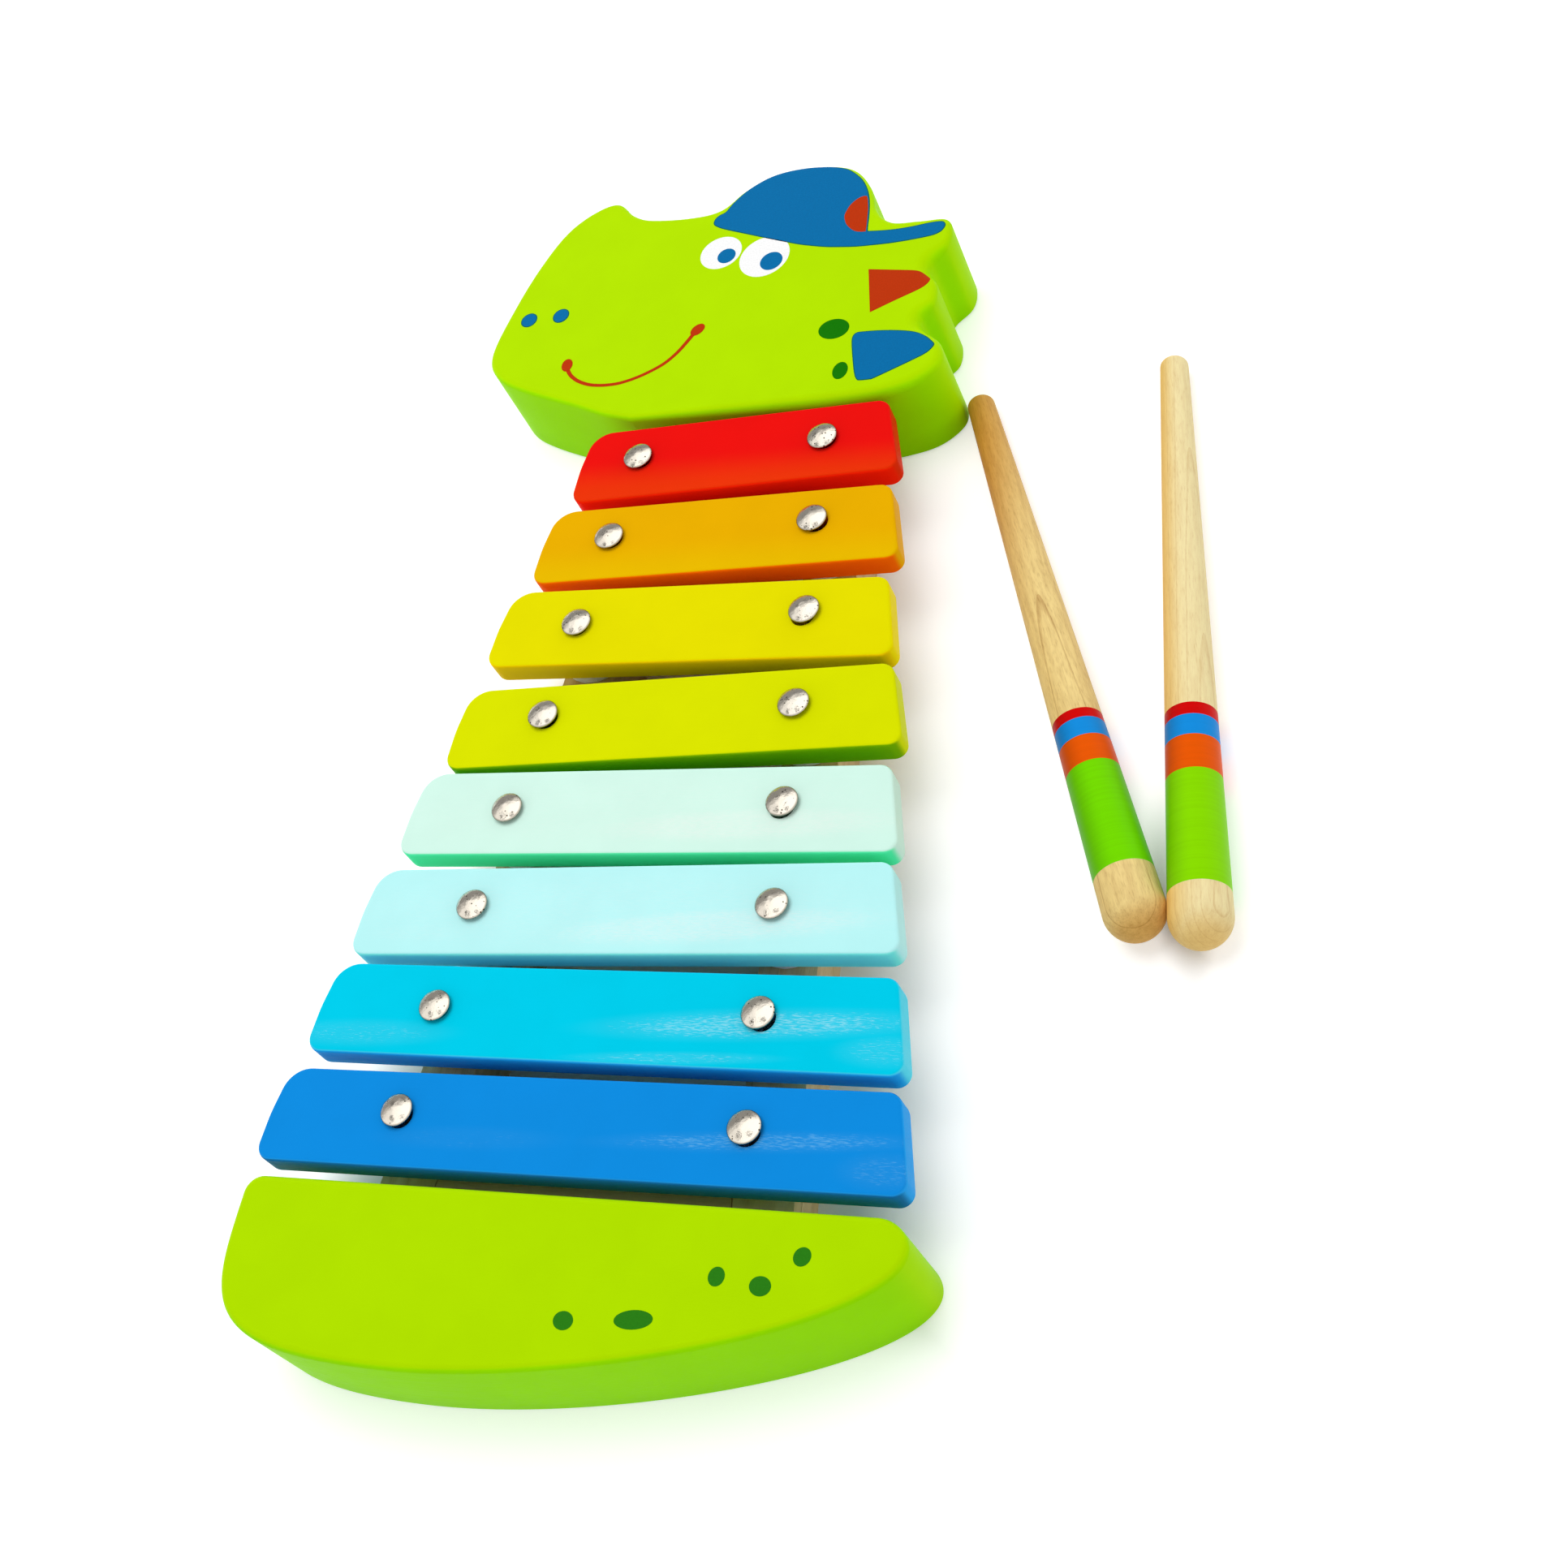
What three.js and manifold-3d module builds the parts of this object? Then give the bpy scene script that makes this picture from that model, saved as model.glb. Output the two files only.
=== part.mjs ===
// A wooden toy xylophone in the shape of a dinosaur. Eight painted bars rest on felt washers
// over two converging rails, and each bar is held by two dome-headed nails. The rails run from
// the head block to the tail block, and two turned mallets lie on the floor beside them.
// Millimetres, +Z up. The origin is on the floor under the tail block, on the centre line.
// +Y runs to the head, and +X to the mallets.

import * as THREE from 'three';
import { mergeVertices } from 'three/addons/utils/BufferGeometryUtils.js';
import Module from 'manifold-3d';

// Rows of bars, counted from the head
const rowCount = 8;
const rowPitch = 30;
const firstPinSpread = 29.1;       // centre line to a nail of the first row
const pinSpreadStep = 2.72;        // how much further out the nails of each next row stand
const headFaceToPins = 15;         // head block's straight face to the first row
const tailFaceToPins = 18;         // tail block's straight face to the last row
const restToTailFace = 20;         // origin to the tail block's straight face

// Head and tail blocks
const blockHeight = 30;
const blockEdgeRadius = 1.5;       // rounding of the upper and lower edges
const headTurn = 0.5;              // degrees, how far each block sits out of square
const tailTurn = -0.9;
const headHalfLength = 92.1;       // centre line to the tip of the nose
const headDepth = 97.7;            // straight face to the crown of the cap
const tailReachLeft = 87.9;
const tailReachRight = 92.5;
const tailDepth = 46.3;
const tailCornerRadius = 5;

// Rails, and the cross pieces that hold them apart
const railWidth = 16;
const railHeight = 16;
const crossDepth = 12;
const tenonHeight = 6.5;
const tenonBottom = 4.5;           // floor to the underside of the tenon
const jointGap = 0.3;              // glue line between joined pieces, all round

// Dowels between a cross piece and its block
const dowelRadius = 3;
const dowelInCross = 8;
const dowelInBlock = 16;
const dowelChamfer = 0.6;
const dowelSpreadShare = 0.6;      // of the way from the centre line to the rail

// Felt washers
const washerRadius = 10.6;
const washerThickness = 7;
const washerBoreRadius = 2;

// Bars
const firstBarLength = 98;         // between the ends, halfway across the bar
const barLengthStep = 10.9;
const barWidth = 26;
const barThickness = 7.5;
const barRightSlant = 13.5;        // degrees from square, so that a bar widens towards the tail
const barLeftHeadSlant = 10.5;     // the left end bends a little halfway across
const barLeftTailSlant = 3.5;
const barLeftBendRadius = 40;
const barLeftHeadCornerRadius = 7.5;
const barLeftTailCornerRadius = 4.6;
const barRightHeadCornerRadius = 4.2;
const barRightTailCornerRadius = 3.4;
const barEdgeRadius = 0.9;
const barHoleRadius = 2.5;
const barPinOffset = 1.2;          // the nails stand this far from the bar's middle, to the head
const barPlay = 0.9;               // bar to the nail head above it

// Nails
const nailHeadRadius = 4.6;
const nailRim = 0.35;
const nailDome = 1.9;
const nailShankRadius = 1.2;
const nailLength = 28;             // underside of the head to the tip
const nailPoint = 3;

// Mallets, each one turned piece of wood
const malletLength = 192.4;
const malletThickRadius = 8.15;    // at the ball end that strikes the bars
const malletThinRadius = 4.05;
const malletThinEdge = 2.2;
const leftMalletTurn = 20.9;       // degrees from the centre line
const rightMalletTurn = 7.9;
const malletToHead = 1.1;          // left mallet's thin end to the head's lower spike
const malletToMallet = 0.4;        // between the two ball ends
const malletPairTurn = -6.8;       // degrees, from one ball's centre to the other's

// How finely round forms are divided
const headCurveSteps = 3;
const tailCurveSteps = 13;
const cornerSteps = 2;
const edgeSteps = 3;
const washerSides = 16;
const nailSides = 12;
const domeSteps = 3;
const dowelSides = 12;
const boreSides = 12;
const malletSides = 20;
const malletDomeSteps = 6;
const cutOverrun = 1;              // how far a cutter runs past the face it cuts

// The bars' names, paints and turns in degrees, from the head to the tail
const bars = [
  { name: 'bar_red', paint: 0xf0200f, turn: 2.1 },
  { name: 'bar_orange', paint: 0xf0b000, turn: 0.8 },
  { name: 'bar_yellow', paint: 0xebe400, turn: -1 },
  { name: 'bar_lime', paint: 0xdde800, turn: 1.6 },
  { name: 'bar_mint', paint: 0xbefae1, turn: -0.4 },
  { name: 'bar_light_blue', paint: 0x96f0f5, turn: 0.4 },
  { name: 'bar_cyan', paint: 0x05cdee, turn: -1 },
  { name: 'bar_blue', paint: 0x148fe1, turn: -0.65 },
];

// How far each bar lies from its own place, and below, how far the left and the right nail of
// each row stand from theirs: to the right and to the head, as shares of the play round a
// nail's shank
const barShiftShares = [
  [0.5, 0.23], [0.62, 0.38], [-0.38, 0.27], [0.46, -0.58],
  [-0.23, -0.04], [-0.5, 0.38], [0.46, 0.23], [0.5, 0.12],
];
const nailShiftShares = [
  [[-0.02, -0.52], [-0.45, 0.78]],
  [[0.13, 0.33], [-0.75, 1.3]],
  [[-0.07, 0.29], [-0.11, 0.45]],
  [[-0.03, -0.25], [-0.1, 0.27]],
  [[-0.35, -0.16], [-0.13, 0]],
  [[-0.14, 0.07], [0.1, 0.15]],
  [[-0.16, 0.47], [-0.19, 0.11]],
  [[0.01, 0.98], [-0.37, 0.15]],
];

// The head's outline from the right end of its straight face, over the two spikes, the brim
// and crown of the cap, the forehead and the nose, back to the straight face's left end.
// Shares of headHalfLength across and of headDepth away from the straight face.
const headOutlineShares = [
  [0.282, 0.001], [0.435, 0.012], [0.565, 0.046],
  [0.641, 0.12], [0.629, 0.196], [0.564, 0.254],                     // lower spike
  [0.546, 0.302], [0.586, 0.356], [0.583, 0.43], [0.545, 0.484],     // upper spike
  [0.548, 0.527], [0.595, 0.583], [0.602, 0.645], [0.576, 0.695],    // tip of the brim
  [0.484, 0.701], [0.386, 0.711], [0.322, 0.772],
  [0.282, 0.88], [0.203, 0.968], [0.062, 1], [-0.08, 0.989],         // crown
  [-0.18, 0.933], [-0.255, 0.862], [-0.362, 0.846], [-0.515, 0.86],
  [-0.593, 0.893], [-0.664, 0.953], [-0.748, 0.932],                 // brow
  [-0.838, 0.855], [-0.906, 0.722], [-0.961, 0.55],
  [-1, 0.346], [-0.954, 0.246], [-0.839, 0.175],                     // nose
  [-0.617, 0.088], [-0.499, 0.039], [-0.391, 0.008],
];
const lowerSpikeShares = [0.641, 0.144];

// The tail's outline: shares of its reach to that side, and of its depth
const tailBellyShare = 0.38;       // where the tail is deepest, left of the centre line
const tailShoulderShare = 0.2;     // depth where the left side starts to curve
const tailLeftDropShare = 0.54;
const tailLeftSweepShare = 0.6;
const tailRightSweepShare = 0.52;
const tailTipRiseShare = 0.39;
const tailTipDepthShare = 0.17;
const tailTipInsetShare = 0.095;
const tailTipRoundShare = 0.52;

// Places that follow from the sizes above
const tailFaceY = restToTailFace;
const lastRowY = tailFaceY + tailFaceToPins;
const rowY = (row) => lastRowY + (rowCount - 1 - row) * rowPitch;
const pinSpread = (row) => firstPinSpread + row * pinSpreadStep;
const headFaceY = rowY(0) + headFaceToPins;
const washerTop = railHeight + washerThickness;
const nailHeadUnderside = washerTop + barThickness + barPlay;
const nailPlay = barHoleRadius - nailShankRadius;
const turnOf = THREE.MathUtils.degToRad;

// The two ends of the frame. blockSide is the way from the straight face into the block.
const headEnd = { y: headFaceY, turn: turnOf(headTurn), blockSide: 1 };
const tailEnd = { y: tailFaceY, turn: turnOf(tailTurn), blockSide: -1 };

const wasm = await Module();
wasm.setup();

const paint = (color) => new THREE.MeshStandardMaterial({ color, roughness: 0.42, metalness: 0 });
const greenPaint = paint(0xb0e000);
const beech = new THREE.MeshStandardMaterial({ color: 0xe3c795, roughness: 0.68, metalness: 0 });
const malletWood = new THREE.MeshStandardMaterial({ color: 0xcf9c5a, roughness: 0.6, metalness: 0 });
const felt = new THREE.MeshStandardMaterial({ color: 0xe4e2da, roughness: 0.95, metalness: 0 });
const plated = new THREE.MeshStandardMaterial({ color: 0xc8cacb, roughness: 0.22, metalness: 1 });

// Joining and cutting

function solidOf(geometry) {
  const bare = geometry.clone();
  bare.deleteAttribute('normal');
  bare.deleteAttribute('uv');
  const merged = mergeVertices(bare);
  const vertProperties = new Float32Array(merged.attributes.position.array);
  const triVerts = new Uint32Array(merged.index.array);
  return new wasm.Manifold(new wasm.Mesh({ numProp: 3, vertProperties, triVerts }));
}

function geometryOf(solid) {
  const { vertProperties, triVerts } = solid.getMesh();
  const indexed = new THREE.BufferGeometry();
  indexed.setAttribute('position', new THREE.BufferAttribute(vertProperties, 3));
  indexed.setIndex(new THREE.BufferAttribute(triVerts, 1));
  const geometry = indexed.toNonIndexed();
  geometry.computeVertexNormals();
  return geometry;
}

function cut(geometry, cutters) {
  let solid = solidOf(geometry);
  for (const cutter of cutters) {
    solid = solid.subtract(solidOf(cutter));
  }
  return geometryOf(solid);
}

// A flat board from its outline in plan. Its upper and lower edges are rounded inwards, so the
// wall between them follows the outline itself.
function board(shape, thickness, edgeRadius, curveSegments) {
  const geometry = new THREE.ExtrudeGeometry(shape, {
    depth: thickness - 2 * edgeRadius,
    bevelThickness: edgeRadius,
    bevelSize: edgeRadius,
    bevelOffset: -edgeRadius,
    bevelSegments: edgeSteps,
    curveSegments,
  });
  return geometry.translate(0, 0, edgeRadius);
}

// A square-edged slab with straight sides, between two heights
function slab(corners, bottom, top) {
  const geometry = new THREE.ExtrudeGeometry(new THREE.Shape(corners), {
    depth: top - bottom,
    bevelEnabled: false,
  });
  return geometry.translate(0, 0, bottom);
}

// A polygon whose corners, given anticlockwise as [point, radius], are rounded
function roundedPolygon(corners) {
  const shape = new THREE.Shape();
  corners.forEach(([corner, radius], index) => {
    const before = corners.at(index - 1)[0].clone().sub(corner).normalize();
    const after = corners.at((index + 1) % corners.length)[0].clone().sub(corner).normalize();
    const halfAngle = Math.acos(before.dot(after)) / 2;
    const middle = before.clone().add(after).normalize();
    const centre = corner.clone().addScaledVector(middle, radius / Math.sin(halfAngle));
    const reach = radius / Math.tan(halfAngle);
    const start = corner.clone().addScaledVector(before, reach).sub(centre).angle();
    const finish = corner.clone().addScaledVector(after, reach).sub(centre).angle();
    shape.absarc(centre.x, centre.y, radius, start, finish, false);
  });
  shape.closePath();
  return shape;
}

// A quarter of an ellipse from the rim, at (width, base), up to the axis
function domeProfile(width, base, height, steps) {
  return Array.from({ length: steps + 1 }, (_, step) => {
    const angle = (step / steps) * (Math.PI / 2);
    const across = step === steps ? 0 : width * Math.cos(angle);
    return new THREE.Vector2(across, base + height * Math.sin(angle));
  });
}

// Lines in plan, for corners where slanted pieces meet

function crossing(first, second) {
  const between = second.point.clone().sub(first.point);
  const along = between.cross(second.direction) / first.direction.cross(second.direction);
  return first.point.clone().addScaledVector(first.direction, along);
}

// A line along a rail, moved outwards from the rail's own centre line
function railLine(side, outwards) {
  const direction = new THREE.Vector2(
    side * (pinSpread(rowCount - 1) - pinSpread(0)), rowY(rowCount - 1) - rowY(0),
  ).normalize();
  const outward = new THREE.Vector2(-direction.y, direction.x).multiplyScalar(side);
  const point = new THREE.Vector2(side * pinSpread(0), rowY(0)).addScaledVector(outward, outwards);
  return { point, direction };
}

// A line along a block's straight face, moved towards the bars
function faceLine(end, inwards) {
  const direction = new THREE.Vector2(Math.cos(end.turn), Math.sin(end.turn));
  const inward = new THREE.Vector2(direction.y, -direction.x).multiplyScalar(end.blockSide);
  return { point: new THREE.Vector2(0, end.y).addScaledVector(inward, inwards), direction };
}

function fourSided(lineA, lineB, lineC, lineD) {
  return [
    crossing(lineA, lineB), crossing(lineB, lineC), crossing(lineC, lineD), crossing(lineD, lineA),
  ];
}

// Blocks

function headOutline() {
  const points = headOutlineShares.map(
    ([across, away]) => new THREE.Vector2(across * headHalfLength, away * headDepth),
  );
  const faceLeft = points.at(-1);
  const shape = new THREE.Shape();
  shape.moveTo(faceLeft.x, faceLeft.y);
  shape.lineTo(points[0].x, points[0].y);
  shape.splineThru(points.slice(1));
  return shape;
}

function tailOutline() {
  const left = -tailReachLeft;
  const right = tailReachRight;
  const belly = left * tailBellyShare;
  const shoulder = -tailDepth * tailShoulderShare;
  const tipDepth = -tailDepth * tailTipDepthShare;
  const tipInset = tailReachRight * tailTipInsetShare;
  const cornerRadius = tailCornerRadius;
  const shape = new THREE.Shape();
  shape.moveTo(right - tipInset, 0);
  shape.lineTo(left + cornerRadius, 0);
  shape.absarc(left + cornerRadius, -cornerRadius, cornerRadius, Math.PI / 2, Math.PI, false);
  shape.lineTo(left, shoulder);
  shape.bezierCurveTo(
    left, shoulder - tailDepth * tailLeftDropShare,
    belly - tailReachLeft * tailLeftSweepShare, -tailDepth,
    belly, -tailDepth,
  );
  shape.bezierCurveTo(
    belly + tailReachRight * tailRightSweepShare, -tailDepth,
    right, tipDepth - tailDepth * tailTipRiseShare,
    right, tipDepth,
  );
  shape.bezierCurveTo(
    right, tipDepth * (1 - tailTipRoundShare),
    right - tipInset * (1 - tailTipRoundShare), 0,
    right - tipInset, 0,
  );
  return shape;
}

// Dowels lie square to a block's straight face, in the frame of that end
function dowelPlaces(end) {
  const railInside = crossing(railLine(1, -railWidth / 2), faceLine(end, 0)).x;
  return [-1, 1].map((side) => side * railInside * dowelSpreadShare);
}

function dowelHole(end, across) {
  const inCross = jointGap + dowelInCross + jointGap;
  const inBlock = dowelInBlock + jointGap;
  const radius = dowelRadius + jointGap;
  const hole = new THREE.CylinderGeometry(radius, radius, inCross + inBlock, boreSides);
  return hole.translate(across, end.blockSide * (inBlock - inCross) / 2, railHeight / 2);
}

function dowel() {
  const length = jointGap + dowelInCross + dowelInBlock;
  const profile = [
    new THREE.Vector2(0, 0),
    new THREE.Vector2(dowelRadius - dowelChamfer, 0),
    new THREE.Vector2(dowelRadius, dowelChamfer),
    new THREE.Vector2(dowelRadius, length - dowelChamfer),
    new THREE.Vector2(dowelRadius - dowelChamfer, length),
    new THREE.Vector2(0, length),
  ];
  return new THREE.LatheGeometry(profile, dowelSides).translate(0, -jointGap - dowelInCross, 0);
}

function block(end, shape, curveSteps) {
  const blank = board(shape, blockHeight, blockEdgeRadius, curveSteps);
  return cut(blank, dowelPlaces(end).map((across) => dowelHole(end, across)));
}

// Rails and cross pieces. A cross piece's tenon fills an open slot through the rail's end.

const crossNear = jointGap;
const crossFar = crossNear + crossDepth;

function endSlot(side, end) {
  const plan = fourSided(
    railLine(side, railWidth / 2 + cutOverrun), faceLine(end, -cutOverrun),
    railLine(side, -railWidth / 2 - cutOverrun), faceLine(end, crossFar + jointGap),
  );
  return slab(plan, tenonBottom - jointGap, tenonBottom + tenonHeight + jointGap);
}

// Where a nail stands in plan
function nailPlace(side, row) {
  const [across, away] = nailShiftShares[row][side < 0 ? 0 : 1];
  return new THREE.Vector2(side * pinSpread(row) + across * nailPlay, rowY(row) + away * nailPlay);
}

function nailBore(side, row) {
  const radius = nailShankRadius + jointGap;
  const bottom = nailHeadUnderside - nailLength - jointGap;
  const top = railHeight + cutOverrun;
  const bore = new THREE.CylinderGeometry(radius, radius, top - bottom, boreSides);
  const at = nailPlace(side, row);
  bore.rotateX(Math.PI / 2);
  return bore.translate(at.x, at.y, (top + bottom) / 2);
}

function rail(side) {
  const plan = fourSided(
    railLine(side, railWidth / 2), faceLine(headEnd, jointGap),
    railLine(side, -railWidth / 2), faceLine(tailEnd, jointGap),
  );
  const slots = [headEnd, tailEnd].map((end) => endSlot(side, end));
  const bores = bars.map((_, row) => nailBore(side, row));
  return cut(slab(plan, 0, railHeight), [...slots, ...bores]);
}

function crossPiece(end) {
  const plan = (outwards) => fourSided(
    railLine(-1, outwards), faceLine(end, crossNear),
    railLine(1, outwards), faceLine(end, crossFar),
  );
  const middle = slab(plan(-railWidth / 2 - jointGap), 0, railHeight);
  const tenons = slab(plan(railWidth / 2), tenonBottom, tenonBottom + tenonHeight);
  const joined = geometryOf(solidOf(middle).add(solidOf(tenons)));
  const seat = new THREE.Matrix4().makeRotationZ(end.turn).setPosition(0, end.y, 0);
  const holes = dowelPlaces(end).map((across) => dowelHole(end, across).applyMatrix4(seat));
  return cut(joined, holes);
}

// Bars, washers and nails

function barOutline(row) {
  const halfLength = (firstBarLength + row * barLengthStep) / 2;
  const halfWidth = barWidth / 2;
  const flare = (slant) => halfWidth * Math.tan(turnOf(slant));
  const left = -halfLength;
  return roundedPolygon([
    [new THREE.Vector2(left - flare(barLeftTailSlant), -halfWidth), barLeftTailCornerRadius],
    [new THREE.Vector2(halfLength + flare(barRightSlant), -halfWidth), barRightTailCornerRadius],
    [new THREE.Vector2(halfLength - flare(barRightSlant), halfWidth), barRightHeadCornerRadius],
    [new THREE.Vector2(left + flare(barLeftHeadSlant), halfWidth), barLeftHeadCornerRadius],
    [new THREE.Vector2(left, 0), barLeftBendRadius],
  ]);
}

function bar(row) {
  const [across, away] = barShiftShares[row];
  const blank = board(barOutline(row), barThickness, barEdgeRadius, cornerSteps);
  blank.translate(across * nailPlay, away * nailPlay - barPinOffset, 0);
  blank.rotateZ(turnOf(bars[row].turn));
  const holes = [-1, 1].map((side) => {
    const depth = barThickness + 2 * cutOverrun;
    const hole = new THREE.CylinderGeometry(barHoleRadius, barHoleRadius, depth, boreSides);
    const at = nailPlace(side, row);
    hole.rotateX(Math.PI / 2);
    return hole.translate(at.x, at.y - rowY(row), barThickness / 2);
  });
  return cut(blank, holes);
}

function washer() {
  const profile = [
    new THREE.Vector2(washerBoreRadius, 0),
    new THREE.Vector2(washerRadius, 0),
    new THREE.Vector2(washerRadius, washerThickness),
    new THREE.Vector2(washerBoreRadius, washerThickness),
    new THREE.Vector2(washerBoreRadius, 0),
  ];
  return new THREE.LatheGeometry(profile, washerSides).rotateX(Math.PI / 2);
}

function nail() {
  const profile = [
    new THREE.Vector2(0, -nailLength),
    new THREE.Vector2(nailShankRadius, -nailLength + nailPoint),
    new THREE.Vector2(nailShankRadius, 0),
    new THREE.Vector2(nailHeadRadius, 0),
    ...domeProfile(nailHeadRadius, nailRim, nailDome, domeSteps),
  ];
  return new THREE.LatheGeometry(profile, nailSides).rotateX(Math.PI / 2);
}

// Mallets. The profile runs from the thin end to the ball end, along +Y from the thin end's tip.

const malletBallY = malletLength - malletThickRadius;
const malletThinY = malletThinRadius;
const malletSlope = (malletThickRadius - malletThinRadius) / (malletBallY - malletThinEdge);

function mallet() {
  const thinEdge = domeProfile(malletThinEdge, 0, malletThinEdge, malletDomeSteps / 2)
    .slice(0, -1)
    .map(({ x, y }) => new THREE.Vector2(malletThinRadius - malletThinEdge + x, malletThinEdge - y));
  const profile = [
    new THREE.Vector2(0, 0),
    new THREE.Vector2(malletThinRadius - malletThinEdge, 0),
    ...thinEdge.reverse(),
    ...domeProfile(malletThickRadius, malletBallY, malletThickRadius, malletDomeSteps),
  ];
  return new THREE.LatheGeometry(profile, malletSides);
}

// Where the centre of a mallet's ball end lies in plan. The left mallet's thin end lies beside
// the head's lower spike, and the right ball lies beside the left one.
function malletPlaces() {
  const [spikeAcross, spikeAway] = lowerSpikeShares;
  const left = turnOf(leftMalletTurn);
  const right = turnOf(rightMalletTurn);
  const pair = turnOf(malletPairTurn);
  const thinX = spikeAcross * headHalfLength + malletToHead + malletThinRadius / Math.cos(left);
  const thinY = headFaceY + spikeAway * headDepth;
  const reach = malletBallY - malletThinY;
  const leftBall = new THREE.Vector2(
    thinX + reach * Math.sin(left), thinY - reach * Math.cos(left),
  );
  const apart = 2 * malletThickRadius + malletToMallet;
  const rightBall = new THREE.Vector2(
    leftBall.x + apart * Math.cos(pair), leftBall.y + apart * Math.sin(pair),
  );
  return [
    { name: 'mallet_left', ball: leftBall, turn: left },
    { name: 'mallet_right', ball: rightBall, turn: right },
  ];
}

// Assembly

const xylophone = new THREE.Group();

function place(parent, name, geometry, material, x = 0, y = 0, z = 0) {
  const mesh = new THREE.Mesh(geometry, material);
  mesh.name = name;
  mesh.position.set(x, y, z);
  parent.add(mesh);
  return mesh;
}

for (const [name, end, outline, steps] of [
  ['head', headEnd, headOutline(), headCurveSteps],
  ['tail', tailEnd, tailOutline(), tailCurveSteps],
]) {
  const turned = new THREE.Group();
  turned.position.y = end.y;
  turned.rotation.z = end.turn;
  place(turned, `${name}_block`, block(end, outline, steps), greenPaint);
  dowelPlaces(end).forEach((across, index) => {
    const side = index === 0 ? 'left' : 'right';
    const peg = place(turned, `${name}_dowel_${side}`, dowel(), beech, across, 0, railHeight / 2);
    peg.rotation.z = end.blockSide === 1 ? 0 : Math.PI;
  });
  xylophone.add(turned);
  place(xylophone, `${name}_cross_piece`, crossPiece(end), beech);
}

for (const [name, side] of [['left', -1], ['right', 1]]) {
  place(xylophone, `rail_${name}`, rail(side), beech);
  bars.forEach((_, row) => {
    const { x, y } = nailPlace(side, row);
    const number = row + 1;
    place(xylophone, `washer_${name}_${number}`, washer(), felt, x, y, railHeight);
    place(xylophone, `nail_${name}_${number}`, nail(), plated, x, y, nailHeadUnderside);
  });
}

bars.forEach(({ name, paint: color }, row) => {
  place(xylophone, name, bar(row), paint(color), 0, rowY(row), washerTop);
});

for (const { name, ball, turn } of malletPlaces()) {
  const turned = new THREE.Group();
  turned.position.set(ball.x, ball.y, malletThickRadius);
  turned.rotation.z = turn + Math.PI;
  const stick = place(turned, name, mallet().translate(0, -malletBallY, 0), malletWood);
  stick.rotation.x = Math.atan(malletSlope);
  xylophone.add(turned);
}

export default xylophone;
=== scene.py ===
# %% [markdown]
# # A wooden toy xylophone
#
# The toy is a dinosaur. Its head and tail are two thick painted boards, its body is eight painted
# bars on two wooden rails, and two turned mallets lie beside it.
#
# A CAD model gives every size and place. This notebook puts the finish on: edges that are really
# round, wood grain, lacquer, felt, plated nails and the print on the head. Each piece is made at
# the place where its plain CAD solid lies, and then stands for that solid.

# %% Load the frame
import math

import bpy
import numpy as np
from mathutils import Euler, Matrix, Vector, geometry, noise


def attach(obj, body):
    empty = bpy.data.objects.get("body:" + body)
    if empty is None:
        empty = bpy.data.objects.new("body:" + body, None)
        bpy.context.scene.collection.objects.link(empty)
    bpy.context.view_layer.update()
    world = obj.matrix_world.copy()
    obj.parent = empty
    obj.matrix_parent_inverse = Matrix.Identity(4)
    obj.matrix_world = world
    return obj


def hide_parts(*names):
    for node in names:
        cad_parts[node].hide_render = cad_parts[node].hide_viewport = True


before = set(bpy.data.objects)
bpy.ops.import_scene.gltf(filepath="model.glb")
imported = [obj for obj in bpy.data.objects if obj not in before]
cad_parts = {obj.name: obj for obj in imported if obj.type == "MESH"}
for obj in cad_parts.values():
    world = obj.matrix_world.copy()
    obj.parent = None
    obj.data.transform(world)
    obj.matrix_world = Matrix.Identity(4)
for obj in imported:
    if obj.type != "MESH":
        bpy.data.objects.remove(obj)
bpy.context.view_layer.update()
print("nodes:", len(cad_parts))

# %% [markdown]
# ## Sizes
#
# Blender counts in metres, but a toy is easier to think about in millimetres, so every size below
# is in millimetres and one factor turns it to metres. The sizes are those of the CAD model.

# %% Sizes in millimetres
MM = 0.001

ROW_COUNT = 8
ROW_PITCH = 30
FIRST_PIN_SPREAD = 29.1
PIN_SPREAD_STEP = 2.72
TAIL_FACE_Y = 20
LAST_ROW_Y = TAIL_FACE_Y + 18
FIRST_ROW_Y = LAST_ROW_Y + (ROW_COUNT - 1) * ROW_PITCH
HEAD_FACE_Y = FIRST_ROW_Y + 15

BLOCK_HEIGHT = 30
BLOCK_EDGE = 1.5
HEAD_TURN = 0.5
TAIL_TURN = -0.9

RAIL_WIDTH = 16
RAIL_HEIGHT = 16
CROSS_DEPTH = 12
TENON_HEIGHT = 6.5
TENON_BOTTOM = 4.5
JOINT_GAP = 0.3
CUT_OVERRUN = 1

# Where the camera stands, and its tilts in degrees
CAMERA_PLACE = (265.2, -154.7, 497.8)
CAMERA_TILTS = (33.335, 19.684, 10.993)

WASHER_THICKNESS = 7
BAR_BOTTOM = RAIL_HEIGHT + WASHER_THICKNESS
FIRST_BAR_LENGTH = 98
BAR_LENGTH_STEP = 10.9
BAR_WIDTH = 26
BAR_THICKNESS = 7.5
BAR_PLAY = 0.9
NAIL_HEAD_BOTTOM = BAR_BOTTOM + BAR_THICKNESS + BAR_PLAY
NAIL_SHANK = 1.2
BAR_HOLE = 2.5
NAIL_PLAY = BAR_HOLE - NAIL_SHANK

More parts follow.
